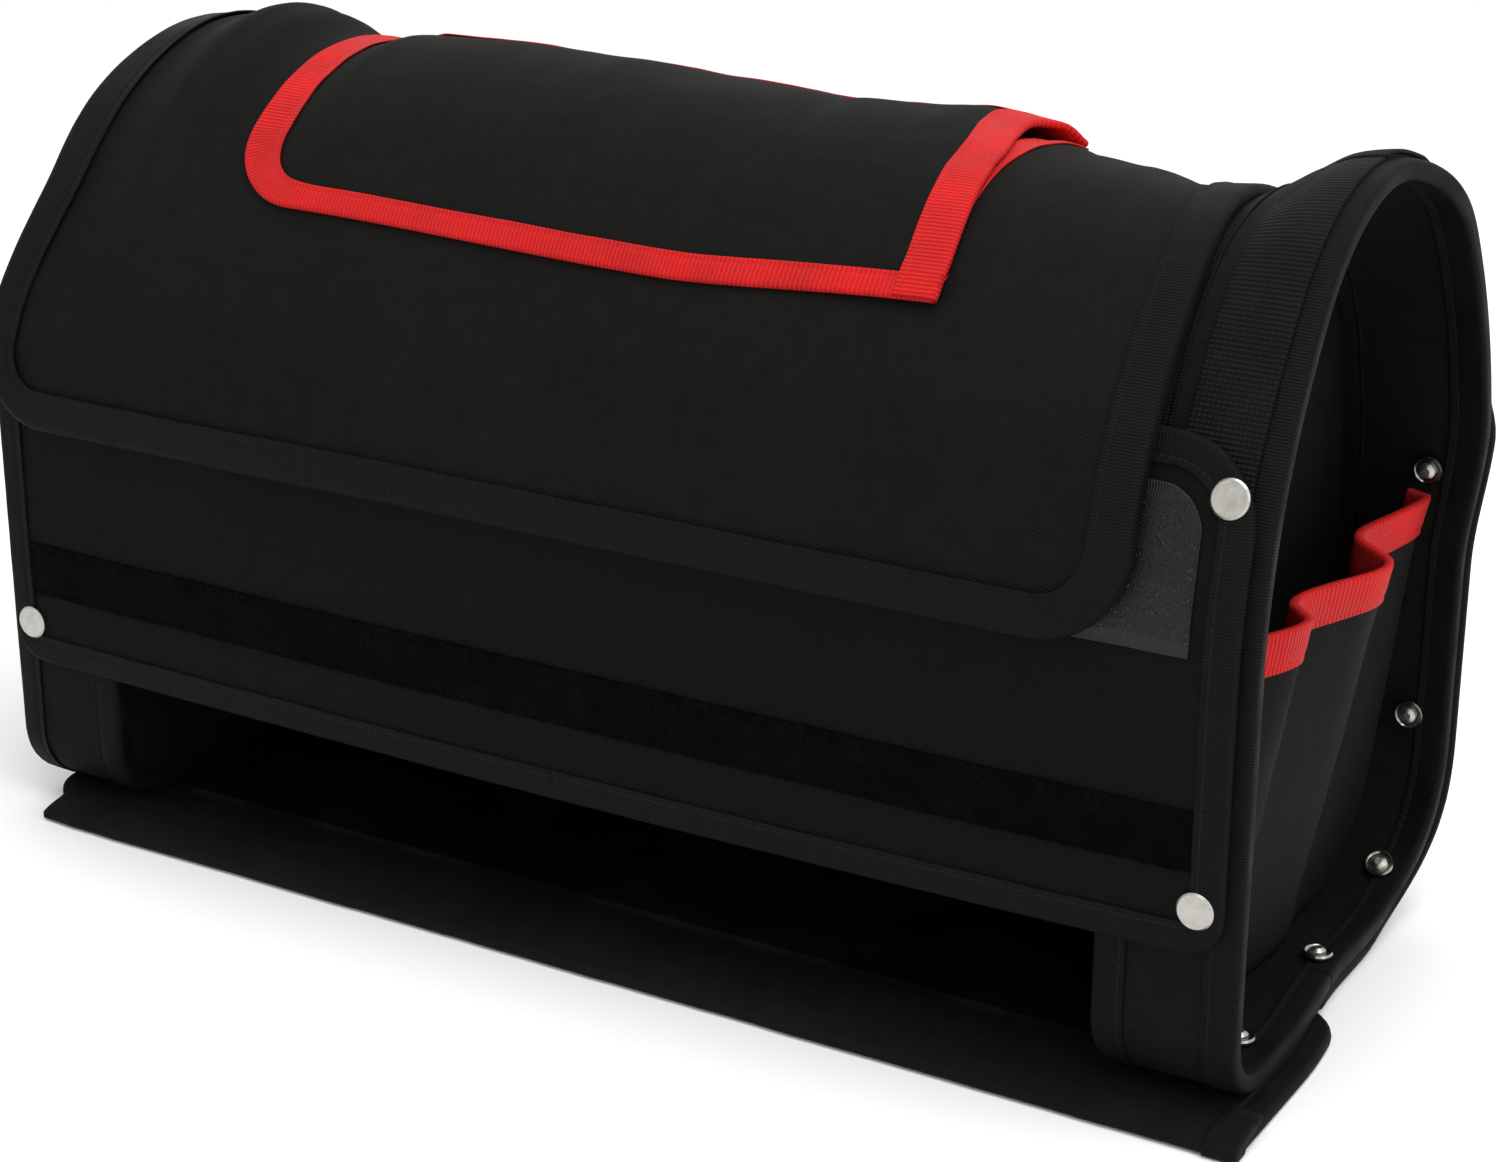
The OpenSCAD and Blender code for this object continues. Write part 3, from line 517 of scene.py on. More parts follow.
def flatCloth(area, corners=(0, 0, 0, 0), cell=4.0, nearEdge=False):
    left, right, low, high = area
    bm = unitGrid(max(2, ceil((right - left) / cell)), max(2, ceil((high - low) / cell)))
    for vert in bm.verts:
        x, s = left + vert.co.x * (right - left), low + vert.co.y * (high - low)
        vert.co = (*roundCorner(x, s, area, corners), 0)
    keepMap(bm, lambda co: (co.x, min(co.y - low, high - co.y) if nearEdge else co.y))
    return bm


def stillCloth(x, s):
    return 0.0, 0.0, 0.0


def clothPoint(path, x, s, w, soften=stillCloth):
    moveX, moveS, moveW = soften(x, s)
    a, b, outA, outB = pathAt(path, s + moveS)
    return settled(x + moveX, a + (w + moveW) * outA, b + (w + moveW) * outB)


def layCloth(bm, path, height, soften=stillCloth):
    # bends the flat cloth onto its line at a height over it
    for vert in bm.verts:
        vert.co = clothPoint(path, vert.co.x, vert.co.y, vert.co.z + height, soften)
    if path["turn"] > 0:
        bmesh.ops.reverse_faces(bm, faces=bm.faces[:])


def joinEnds(bm):
    bmesh.ops.remove_doubles(bm, verts=bm.verts[:], dist=0.00002)
    bmesh.ops.dissolve_degenerate(bm, edges=bm.edges[:], dist=0.00001)


def makePiece(name, bm, slotName, body, nodes=(), wall=None, bevel=None):
    mesh = bpy.data.meshes.new(name)
    bm.to_mesh(mesh)
    bm.free()
    piece = bpy.data.objects.new(name, mesh)
    bpy.context.scene.collection.objects.link(piece)
    mesh.materials.append(finishes[slotName])
    for face in mesh.polygons:
        face.use_smooth = True
    if wall:
        shell = piece.modifiers.new("wall", "SOLIDIFY")
        shell.thickness, shell.offset, shell.use_even_offset = wall * mm, -1.0, False
    if bevel:
        edge = piece.modifiers.new("edge", "BEVEL")
        edge.width, edge.segments = bevel * mm, 2
        edge.limit_method, edge.angle_limit = "ANGLE", radians(50)
    if body:  # a piece that bends between two bodies rides on neither
        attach(piece, body)
    if nodes:
        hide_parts(*nodes)
    return piece


# an edge tape in cross-section: flat over the sheet, round both corners of its edge and back
hemLook = {"bend": 1.9, "bendSteps": 3, "stitchAt": 2.2, "stitchWidth": 0.9, "waveSize": 9, "edgeWave": 0.35,
           "edgeWaveSize": 30, "pressReach": 12}


def tapeStops(cover, half):
    bend = min(half, hemLook["bend"])
    run, drop = cover - bend + bag["tapeWall"], 2 * (half - bend)
    total = 2 * run + pi * bend + drop
    turn = [pi * bend / 2 * step / hemLook["bendSteps"] for step in range(hemLook["bendSteps"] + 1)]
    first = [run + along for along in turn]
    second = [run + pi * bend / 2 + drop + along for along in turn]
    if drop < 0.2:
        second = second[1:]
    # close together beside the stitches, which pull the tape down
    outer = [0, 0.5, 1.1, 1.7, 2.2, 2.7, 3.4, 4.6, run - 0.8]
    inner = [total - stop for stop in (run - 0.8, 3.4, 2.7, 2.2, 1.7, 0.5, 0)]
    return outer + first + second + inner, total


def tapeSection(at, total, half, cover):
    # inset from the edge, and height over the sheet's middle
    side = 1
    if at > total / 2:
        at, side = total - at, -1
    bend = min(half, hemLook["bend"])
    run = cover - bend + bag["tapeWall"]
    if at <= run:
        return cover - at, side * half
    turn = (at - run) / bend
    if turn <= pi / 2:
        return bend - bag["tapeWall"] - bend * sin(turn), side * (half - bend + bend * cos(turn))
    return -bag["tapeWall"], side * (half - bend - (at - run - pi * bend / 2))


def noLift(along):
    return 0.0


def sameWidth(along):
    return 1.0


def tapeRound(outline, path, sheetLow, sheetWall, cover=10.0, soften=stillCloth, cell=4.0, closed=False,
              seed=1.0, groove=0.35, ripple=0.22, lift=noLift, widen=sameWidth, pressed=0.0,
              tapeWall=bag["tapeWall"]):
    look, half = hemLook, sheetWall / 2 + tapeWall
    stops, total = tapeStops(cover, half)
    bm = unitGrid(ceil(outline["length"] / cell), len(stops) - 1)
    for vert in bm.verts:
        vert.co = (vert.co.x * outline["length"], stops[round(vert.co.y * (len(stops) - 1))], 0)
    keepMap(bm, lambda co: (co.x, min(co.y, total - co.y)))
    middle = sheetLow + sheetWall / 2
    for vert in bm.verts:
        along, at, _ = vert.co
        x, s, outX, outS = pathAt(outline, along)
        inset, height = tapeSection(at, total, half, cover)
        inset *= widen(along) if inset > 0 else 1
        fromEdge = min(at, total - at)
        side = 1 if height > 0 else -1
        # pulled down along the stitching, a little wavy, a free edge that isn't quite straight,
        # and pressed flat where its ends are sewn in
        pull = groove * dent(fromEdge - look["stitchAt"], look["stitchWidth"])
        wave = ripple * wobble(along, 0, look["waveSize"], seed) * (0.4 + 0.6 * exp(-fromEdge / 3))
        inset -= look["edgeWave"] * wobble(along, 5, look["edgeWaveSize"], seed + 3) * exp(-fromEdge / 4)
        press = pressed * (1 - ramp(min(along, outline["length"] - along), 0, look["pressReach"]))
        height += side * (wave - pull - press) + lift(along)
        vert.co = clothPoint(path, x - outX * inset, s - outS * inset, middle + height, soften)
    if closed:
        joinEnds(bm)
    bmesh.ops.recalc_face_normals(bm, faces=bm.faces[:])
    return bm


# the stiff end hoops
hoopLook = {"crown": 0.7, "crownPower": 0.7, "ripple": 0.25, "rippleSize": 40, "seamAt": 700, "cover": 10.8}


def buildHoop(side):
    word = "right" if side > 0 else "left"
    inner, outer = bag["innerRim"], bag["halfLength"]
    edges = sorted((side * inner, side * outer))

    def soften(x, s):
        share = (abs(x) - inner) / (outer - inner)
        swell = 4 * share * (1 - share)
        bulge = hoopLook["crown"] * swell ** hoopLook["crownPower"] if 0 < share < 1 else 0
        # the ripple runs on over the place where the hoop's ends are joined
        fromSeam = s if s < hoopLook["seamAt"] else s - hoopPath["length"]
        ripple = hoopLook["ripple"] * wobble(x, fromSeam, hoopLook["rippleSize"], side)
        return 0, 0, bulge + ripple - rimSink(x, s - hoopCrown)

    bm = flatCloth((*edges, 0, hoopPath["length"]))
    layCloth(bm, hoopPath, 0, soften)
    joinEnds(bm)
    piece = makePiece("hoop_band_" + word, bm, "twill", "bag", ["hoop_" + word], wall=bag["hoopWall"])
    for place, edge, towards in (("outer", outer, side), ("inner", inner, -side)):
        line = edgeLine(side * edge, 0, hoopPath["length"], towards)
        rim = tapeRound(line, hoopPath, -bag["hoopWall"], bag["hoopWall"], cover=hoopLook["cover"],
                        soften=soften, closed=True, seed=side + 2 * edge)
        tape = makePiece("hoop_rim_tape_%s_%s" % (place, word), rim, "black_tape", "bag",
                         ["hoop_%s_%s_binding" % (word, place)], wall=bag["tapeWall"])


for side in (-1, 1):
    buildHoop(side)
print("hoops ready")


webLook = {"edges": (215.0, 240.0), "end": 190.0, "wall": 1.5, "stand": 1.0, "bevel": 0.5, "lap": 32.0,
           "lapPast": 17.0, "creep": 4.5, "creepReach": 260, "sway": (0.5, 45), "ripple": (0.2, 25),
           "lapShift": 0.3, "lapTuck": 0.8, "lapRipple": (0.15, 12)}
webStart = frontAt(hoopPath, webLook["end"])
webEnd = backAt(hoopPath, webLook["end"])
lapAt = (webStart + webEnd) / 2 + webLook["lapPast"]


def buildWebbing(side):
    word, look = "right" if side > 0 else "left", webLook
    edges = sorted(side * edge for edge in look["edges"])

    def soften(x, s):
        # it has crept towards the rim, and lies over the inner edge of the rim's tape
        creep = side * look["creep"] * bell(s - hoopCrown, look["creepReach"])
        (sway, swaySize), (ripple, rippleSize) = look["sway"], look["ripple"]
        return (creep + sway * wobble(0, s, swaySize, side + 4), 0,
                ripple * wobble(x, s, rippleSize, side) - rimSink(x, s - hoopCrown))

    def lapSoften(x, s):
        # its ends are sewn down onto the strap under it
        toEnd = abs(s - lapAt) / (look["lap"] / 2)
        moved, (ripple, size) = soften(x, s), look["lapRipple"]
        tuck = look["lapTuck"] * ramp(toEnd, 0.72, 0.28)
        return look["lapShift"] + moved[0], 0, moved[2] - tuck + ripple * wobble(x, s, size, side + 9)

    wall, half = look["wall"], look["lap"] / 2
    strap = flatCloth((*edges, webStart, webEnd), cell=3.0)
    layCloth(strap, hoopPath, wall + look["stand"], soften)
    piece = makePiece("webbing_strap_" + word, strap, "webbing", "bag", ["webbing_" + word],
                      wall=wall, bevel=look["bevel"])
    lap = flatCloth((*edges, lapAt - half, lapAt + half), cell=2.5)
    layCloth(lap, hoopPath, 2 * wall + 0.9, lapSoften)
    joint = makePiece("webbing_lap_" + word, lap, "webbing", "bag", wall=wall, bevel=look["bevel"])


for side in (-1, 1):
    buildWebbing(side)
print("webbing ready")


# end walls, sewn into the hoops' walls, and their pleated pockets
innerInset = bag["hoopWall"] + bag["tapeWall"]
innerPath = hoopArch(innerInset)
innerHalf, innerFoot = bag["halfDepth"] - innerInset, bag["foot"] + innerInset
innerSide = sideRadius(innerHalf, bag["crown"] - innerInset - bag["spring"], bag["topRadius"] - innerInset)
wallLook = {"at": 205.4, "wall": 2.6, "middle": 130, "seam": 3.2, "hoopShare": 1.083, "rimAt": 203,
            "dome": 1.6, "domeMiddle": 148, "domeSize": (90, 135), "waves": ((0.9, 55, 0), (0.3, 16, 2))}


def buildEndWall(side):
    word, look = "right" if side > 0 else "left", wallLook
    bm = unitGrid(150, 14)
    for vert in bm.verts:
        along = vert.co.x * innerPath["length"]
        a, b, outA, outB = pathAt(innerPath, along)
        a, b = a + look["seam"] * outA, b + look["seam"] * outB
        share = 1 - vert.co.y
        off = (along - crownOf(innerPath)) * look["hoopShare"]
        b -= rimSink(side * look["rimAt"], off) * share ** 2
        vert.co = (a * share, look["middle"] + (b - look["middle"]) * share, 0)
    keepMap(bm, lambda co: (co.x, co.y))
    for vert in bm.verts:
        y, z, _ = vert.co
        deep, tall = look["domeSize"]
        edge = min(1.0, hypot(y / deep, (z - look["domeMiddle"]) / tall))
        dome = look["dome"] * (1 - edge ** 2)
        dome += sum(high * wobble(y, z, size, side + seed) for high, size, seed in look["waves"])
        vert.co = settled(side * (look["at"] + max(dome, 0)), y, z)
    joinEnds(bm)
    bmesh.ops.recalc_face_normals(bm, faces=bm.faces[:])
    middle = min(bm.faces, key=lambda face: face.calc_center_median().yz.length)
    if middle.normal.x * side < 0:
        bmesh.ops.reverse_faces(bm, faces=bm.faces[:])
    piece = makePiece("end_wall_panel_" + word, bm, "twill", "bag", ["end_wall_" + word], wall=look["wall"])


pocketLook = {
    "low": 13.0, "floor": 13.8, "mouth": 158.0, "wall": 1.4, "footInset": 27.0, "mouthInset": -0.6,
    "footDeep": 4.0, "mouthDeep": 21.0, "reach": 91.2, "margin": 6.0, "flatWidth": 240.0, "redCover": 14.0,
    "deepShares": [0, 0.225, 0.313, 0.588, 0.676, 0.96, 1], "outShares": [0.1, 1, 0.22, 1.15, 0, 0.42, 0],
    "roundShares": (-0.27, -0.18, -0.09, 0, 0.09, 0.18, 0.27), "bows": ((0.9, 14, 38, 0), (0.4, 30, 14, 5)),
    "dip": 2.2, "redWall": 0.7, "redGroove": 0.25}
folds = len(pocketLook["deepShares"]) - 1


def heightEdges(z):
    # front and back reach of the clear space inside the hoop at a height
    def cornerReach(radius):
        turn = clamp((innerFoot + radius - z) / radius)
        return radius * (1 - sqrt(1 - turn ** 2))

    z = clamp(z, innerFoot + 0.1, 280)
    side = innerSide * (1 - cos(asin((z - bag["spring"]) / innerSide))) if z > bag["spring"] else 0
    frontTurn, backTurn = [cornerReach(bag[word] - innerInset) for word in ("frontCorner", "backCorner")]
    return -innerHalf + max(frontTurn, side), innerHalf - max(backTurn, side)


def pleatPoint(u, z):
    # a point of the folded sheet: u counts the folds, and each fold is rounded over
    look = pocketLook
    share = (z - look["low"]) / (look["mouth"] - look["low"])
    out = bag["halfLength"] - (look["footInset"] + (look["mouthInset"] - look["footInset"]) * share)
    deep = look["footDeep"] + (look["mouthDeep"] - look["footDeep"]) * share

    def corner(index):
        return (out - deep * (1 - look["outShares"][index]),
                look["reach"] * (2 * look["deepShares"][index] - 1))

    x = y = 0
    for shift in look["roundShares"]:
        at = clamp(u + shift, 0, folds)
        index = min(int(at), folds - 1)
        first, second = corner(index), corner(index + 1)
        x += first[0] + (second[0] - first[0]) * (at - index)
        y += first[1] + (second[1] - first[1]) * (at - index)
    x, y = x / len(look["roundShares"]), y / len(look["roundShares"])
    (front, back), margin = heightEdges(z), look["margin"]
    if y > back - margin:
        y = back - margin * exp(-(y - back + margin) / margin)
    if y < front + margin:
        y = front + margin * exp(-(front + margin - y) / margin)
    return x, y


def pleatSurface(u, z, side, out):
    # the sheet softened: cloth between folds bows, the mouth dips between them
    x, y = pleatPoint(u, z)
    x2, y2 = pleatPoint(min(u + 0.02, folds), z)
    x1, y1 = pleatPoint(max(u - 0.02, 0), z)
    length = hypot(x2 - x1, y2 - y1) or 1
    high = max(0, (z - 14) / 144)
    tuck = sin(pi * clamp(u / folds)) ** 0.4
    out += high * tuck * sum(bow * wobble(u * step, z, size, side + seed)
                             for bow, step, size, seed in pocketLook["bows"])
    dip = pocketLook["dip"] * high ** 4 * tuck * (0.4 + wobble(u * 20, 3, 22, side + 8))
    return side * (x + out * (y2 - y1) / length), y - out * (x2 - x1) / length, z - dip


def buildPocketTape(side):
    # the red tape over the mouth: down the outside, and back up the inside
    look = pocketLook
    cover, half = look["redCover"], look["wall"] / 2 + bag["tapeWall"]
    stops = [0, 0.7, 1.5, 2.1, 2.7, 4, 6, 8, cover - 1, cover + 0.6, cover + 1.6, cover + 2.6, cover + 4.2,
             2 * cover - 5, 2 * cover - 1, 2 * cover + 3]
    total, top = stops[-1], look["mouth"] + bag["tapeWall"]
    tape = unitGrid(192, len(stops) - 1)
    for vert in tape.verts:
        vert.co = (vert.co.x * folds, stops[round(vert.co.y * (len(stops) - 1))], 0)
    keepMap(tape, lambda co: (co.x * look["flatWidth"] / folds, min(co.y, total - co.y)))
    for vert in tape.verts:
        u, at, _ = vert.co
        if at <= cover:
            z, out = top - (cover - at), half
        elif at >= total - cover:
            z, out = top - (at - total + cover), -half
        else:
            turn = (at - cover) / (total - 2 * cover) * pi
            z, out = top + 0.4 * sin(turn), half * cos(turn)
        wave = 0.12 * wobble(u * look["flatWidth"] / folds, 0, 6, side)
        pull = look["redGroove"] * dent(min(at, total - at) - redLook["stitchLine"], 0.8)
        out += (wave - pull) * (1 if out > 0 else -1)
        vert.co = settled(*pleatSurface(u, z, side, out))
    return tape


def buildPocket(side):
    word, look = "right" if side > 0 else "left", pocketLook
    bm = unitGrid(96, 44)
    for vert in bm.verts:
        vert.co = (vert.co.x * folds, look["floor"] + vert.co.y * (look["mouth"] - look["floor"]), 0)
    keepMap(bm, lambda co: (co.x * look["flatWidth"] / folds, co.y))
    for vert in bm.verts:
        vert.co = settled(*pleatSurface(vert.co.x, vert.co.y, side, look["wall"] / 2))
    tape = buildPocketTape(side)
    if side < 0:
        for half in (bm, tape):
            bmesh.ops.reverse_faces(half, faces=half.faces[:])
    sheet = makePiece("pleated_pocket_" + word, bm, "twill", "bag", ["end_pocket_" + word],
                      wall=look["wall"])
    binding = makePiece("pleated_pocket_tape_" + word, tape, "red_tape", "bag",
                        ["end_pocket_tape_" + word], wall=look["redWall"])


for side in (-1, 1):
    buildEndWall(side)
    buildPocket(side)
print("end walls and pockets ready")


# the front panel, its tape and its two strips
panelLook = {"edges": (-245.0, 245.0), "low": 64.0, "high": 224.0, "corners": (12, 28, 28, 12), "sag": 3.0,
             "free": (0.3, 0.25), "bow": 0.7, "loose": (0.7, 90), "tuck": 0.2, "capAt": 237.0,
             "capDent": 0.5, "capReach": 90, "seam": 0.5, "seamAt": 1.8, "seamWidth": 0.9}
stripLook = {
    "hook": {"edges": (-230.1, 230.1), "heights": (160.0, 210.0), "wall": 1.2, "node": "front_hook_strip",
             "slot": "hook_strip", "corners": (0, 14, 14, 0)},
    "pile": {"edges": (-234.7, 234.7), "heights": (91.0, 111.0), "wall": 1.2, "node": "front_loop_strip",
             "slot": "pile_strip", "corners": (0, 0, 0, 0)}}
panelTop = bag["panelStand"] + bag["panelWall"]
panelMiddle = bag["panelStand"] + bag["panelWall"] / 2
panelArea = (*panelLook["edges"], frontAt(hoopPath, panelLook["low"], panelMiddle),
             frontAt(hoopPath, panelLook["high"], panelMiddle))
capLow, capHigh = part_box("front_rivets")
capPlaces = [(x, frontAt(hoopPath, z, 6)) for x in (-panelLook["capAt"], panelLook["capAt"])
             for z in (capLow[2] / mm + 6.25, capHigh[2] / mm - 6.0)]


def softPanel(x, s):
    look = panelLook
    share = clamp((s - panelArea[2]) / (panelArea[3] - panelArea[2]))
    middle = across(x, 490)
    drop = -look["sag"] * middle * (1 - share) ** 2
    # it bows out a little above, but not where the flap closes against it
    free, (high, size) = ramp(share, *look["free"]), look["loose"]
    loose = high * wobble(x, s, size, 3)
    bow = middle * (free * (look["bow"] + loose) - (1 - free) * look["tuck"] * (1 + abs(loose)))
    nearCap = max(exp(-((x - capX) ** 2 + (s - capS) ** 2) / look["capReach"]) for capX, capS in capPlaces)
    return 0, drop * (1 - nearCap), bow * (1 - nearCap) - look["capDent"] * nearCap


def buildFrontPanel():
    bm = flatCloth(panelArea, panelLook["corners"])
    layCloth(bm, hoopPath, panelTop, softPanel)
    panel = makePiece("front_panel_cloth", bm, "twill", "bag", ["front_panel"], wall=bag["panelWall"])
    # the darker twill on the front panel is painted shade
    panel.data.materials[0] = shadedFrontTwill
    tape = tapeRound(boxOutline(panelArea, panelLook["corners"]), hoopPath, bag["panelStand"],
                     bag["panelWall"], soften=softPanel, closed=True, seed=11)
    makePiece("front_panel_tape", tape, "black_tape", "bag", ["front_panel_binding"], wall=bag["tapeWall"])
    for word, look in stripLook.items():
        area = (*look["edges"], *[frontAt(hoopPath, height, panelTop) for height in look["heights"]])

        def soften(x, s):
            fromEdge = min(s - area[2], area[3] - s, x - area[0], area[1] - x)
            seam = -panelLook["seam"] * dent(fromEdge - panelLook["seamAt"], panelLook["seamWidth"])
            moved = softPanel(x, s)
            return 0, moved[1] + 0.3 * wobble(x, 0, 24, 6), moved[2] + seam + 0.12 * wobble(x, s, 7, 5)

        strip = flatCloth(area, look["corners"], 1.8, nearEdge=True)
        layCloth(strip, hoopPath, panelTop + look["wall"], soften)
        piece = makePiece("front_%s_strip_cloth" % word, strip, look["slot"], "bag", [look["node"]],
                          wall=look["wall"], bevel=0.4)


buildFrontPanel()
print("front panel ready")


# the back panel with its wrap under the bag
backLook = {"edge": 250.8, "high": 206.0, "wall": 3.0, "corner": 2, "tuckAlong": (225, 25), "lowTuck": 2.5,
            "lowReach": (60, 60), "highTuck": 4.5, "highReach": (-30, 28), "bow": 0.8, "wave": (0.9, 80)}
wrapTop = alongAt(wrapPath, 222, 282, backLook["high"], backLook["wall"] / 2)
wrapArea = (-backLook["edge"], backLook["edge"], 0, wrapTop)


def softBack(x, s):
    # the right edge is pulled in round the foot and towards the panel's top
    look, (wave, size) = backLook, backLook["wave"]
    tuck = look["lowTuck"] * (1 - ramp(s, *look["lowReach"]))
    tuck += look["highTuck"] * ramp(s - wrapTop, *look["highReach"])
    bow = (wave * wobble(x, s, size, 8) + look["bow"]) * across(x, 502) * clamp((s - 130) / 90)
    return -ramp(x, *look["tuckAlong"]) * tuck, 0, bow


def buildBack():
    wall, corner = backLook["wall"], backLook["corner"]
    bm = flatCloth(wrapArea, (1, 0, 0, 1))
    layCloth(bm, wrapPath, wall, softBack)
    panel = makePiece("back_panel_cloth", bm, "twill", "bag", ["back_panel"], wall=wall)
    tape = tapeRound(openOutline(wrapArea, corner), wrapPath, -0.1, wall, soften=softBack, seed=21,
                     ripple=0.08, pressed=0.45)
    makePiece("back_panel_tape", tape, "black_tape", "bag", ["back_panel_binding", "base_binding"],
              wall=bag["tapeWall"])


# the floor cloth: its front strip dips under the stitched fold, and its front left corner is pulled in
floorLook = {"area": (-250, 250, 0, 141.2), "corner": 20.0, "stand": 2.6, "wall": 2.0, "bevel": 0.5,
             "underFold": 1.3, "foldAt": (4, 8), "tuck": 13.0, "tuckAlong": (200, 50), "tuckReach": 40,
             "dents": ((0.3, 70, 13), (0.12, 22, 14))}


def softFloor(x, s):
    look = floorLook
    under = -look["underFold"] * (1 - ramp(s, *look["foldAt"]))
    pull = look["tuck"] * ramp(-x, *look["tuckAlong"]) * exp(-s / look["tuckReach"])
    dents = sum(high * wobble(x, s, size, seed) for high, size, seed in look["dents"])
    return pull, 0, under + dents * ramp(s, 0, 20)


def buildFloor():
    look = floorLook
    bm = flatCloth(look["area"], (0, 0, 0, look["corner"]))
    layCloth(bm, clothPath, look["stand"], softFloor)
    cloth = makePiece("floor_cloth_sheet", bm, "twill", "bag", ["floor_cloth"], wall=look["wall"],
                      bevel=look["bevel"])


# the drop-front flap, folded under the bag
flapLook = {"area": (-233.0, 257.0, 0, 98.8), "corner": 20, "wall": 2.5, "hooks": (-212.4, 236.4, 77.8, 97.8),
            "hookWall": 0.6}


def buildFlap():
    look = flapLook
    corner, wall = look["corner"], look["wall"]
    bm = flatCloth(look["area"], (0, corner, corner, 0))
    layCloth(bm, flapPath, wall)
    flap = makePiece("drop_flap_cloth", bm, "twill", "flap", ["flap"], wall=wall)
    left, right, low, high = look["area"]
    side, turn = high - corner, corner * pi / 2
    line = layPath((right, low), pi / 2, 1, [(side, None), (turn, corner), (right - left - 2 * corner, None),
                                             (turn, corner), (side, None)])
    tape = tapeRound(line, flapPath, 0, wall, seed=31, ripple=0.0, groove=0.2)
    makePiece("drop_flap_tape", tape, "black_tape", "flap", ["flap_binding"], wall=bag["tapeWall"])
    strip = flatCloth(look["hooks"], cell=1.8, nearEdge=True)
    layCloth(strip, flapPath, wall + look["hookWall"])
    hooks = makePiece("drop_flap_hook_strip", strip, "hook_strip", "flap", ["flap_strip"],
                      wall=look["hookWall"])


# the fold: sewn on the floor cloth, sloping to the front and turning under the bag
foldLook = {"wall": 0.9, "ends": (-233.0, 257.8), "turnIn": 4.5, "buried": 0.9, "stitchAt": 8.5,
            "waves": ((0.35, 46, 17), (0.25, 15, 18)), "leftDip": 1.2, "leftAlong": (215, 18),
            "tapeReach": 11.0, "tapeWall": 0.7, "tapeStand": 0.75, "innerY": (-104.5, -92.0), "closeAt": 3.4}
foldPath = layPath((-86.0, 7.3), pi, 1, [(10.2, None), (30 * 0.42, 30), (2.2 * 1.88, 2.2),
                                         (1.57 * 0.84, 1.57), (5.0, None)])


def softFold(x, s):
    # buried in the cloth where it starts, then a row of stitches pulls it down
    look = foldLook
    start = -look["buried"] * (1 - ramp(s, 0, 7)) - 0.35 * dent(s - look["stitchAt"], 0.9)
    loose = ramp(s, 6, 8) * (1 - ramp(s, 26, 3))
    rise = loose * sum(high * wobble(x, s, size, seed) for high, size, seed in look["waves"])
    return 0, 0, start + rise - look["leftDip"] * loose * ramp(-x, *look["leftAlong"])


def layFold(bm, height):
    # past its ends the cloth turns in to a line inside the fold and closes it
    (low, high), (front, back) = foldLook["ends"], foldLook["innerY"]
    for vert in bm.verts:
        x, s, _ = vert.co
        over = max(low - x, x - high, 0) / foldLook["turnIn"]
        point = clothPoint(foldPath, clamp(x, low, high), s, height, softFold) / mm
        innerY = clamp(point.y, front, back)
        innerZ = foldLook["closeAt"] + (innerY - front) * 0.17
        point.x += (0.7 if x > 0 else -0.7) * smooth(over * 3)
        point.y += (innerY - point.y) * over
        point.z = max(point.z + (innerZ - point.z) * over, 0.05)
        vert.co = point * mm
    bmesh.ops.reverse_faces(bm, faces=bm.faces[:])


def buildFlapFold():
    look, cell = foldLook, 1.2
    low, high = look["ends"]
    bm = flatCloth((low - look["turnIn"], high - 0.8, 0, foldPath["length"]), (0, 0, 0, 9), cell)
    layFold(bm, 0)
    fold = makePiece("drop_flap_fold", bm, "twill", None, ["flap_roll_seam"], wall=look["wall"])
    tape = flatCloth((high - look["tapeReach"], high + look["turnIn"], 1, foldPath["length"] + 1), cell=cell)
    layFold(tape, look["tapeStand"])
    end = makePiece("drop_flap_fold_tape", tape, "black_tape", None, wall=look["tapeWall"])
    for piece in (fold, end):
        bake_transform(piece)


buildBack()
buildFloor()
buildFlap()
buildFlapFold()
print("back, floor and flap ready")


# the lid: its settling in mm at places along it, and more of it near the right hoop
lidLook = {
    "wall": 3.5, "edges": (-252.0, 210.0), "front": 160.0, "back": 209.8, "corner": 30, "tapeCover": 13.0,
    "edgePull": 7.0, "edgeAlong": (150, 60), "edgeOver": (10, 100), "leftPull": 6.0, "leftAlong": (190, 60),
    "leftOver": (50, 60), "leftTaper": 1.12, "leftSwell": 0.33, "swellAt": 85, "swellReach": 80,
    "creases": (0.9, 85, 0.5, 38), "edgeWave": (0.8, 70), "sagReach": 150, "rightOver": (25, 110),
    "sag": [(-252, 5.5), (-230, 2.5), (-203, -3.5), (-190, -1.5), (-162, 6.5), (-140, 9), (-125, 5),
            (-92, 4.5), (-40, 5.5), (0, 8), (40, 10), (90, 9.5), (115, 13), (140, 10.5), (210, 9.5)],
    "rightSag": [(110, 0), (126, 2), (140, 6), (160, 8), (185, 12.5), (200, 12.5), (212, 11.5)],
    "pile": (-222, 180, 170.3, 25), "pileWall": 1.2}
lidArea = (*lidLook["edges"], frontAt(lidPath, lidLook["front"], lidLook["wall"] / 2),
           backAt(lidPath, lidLook["back"], lidLook["wall"] / 2))


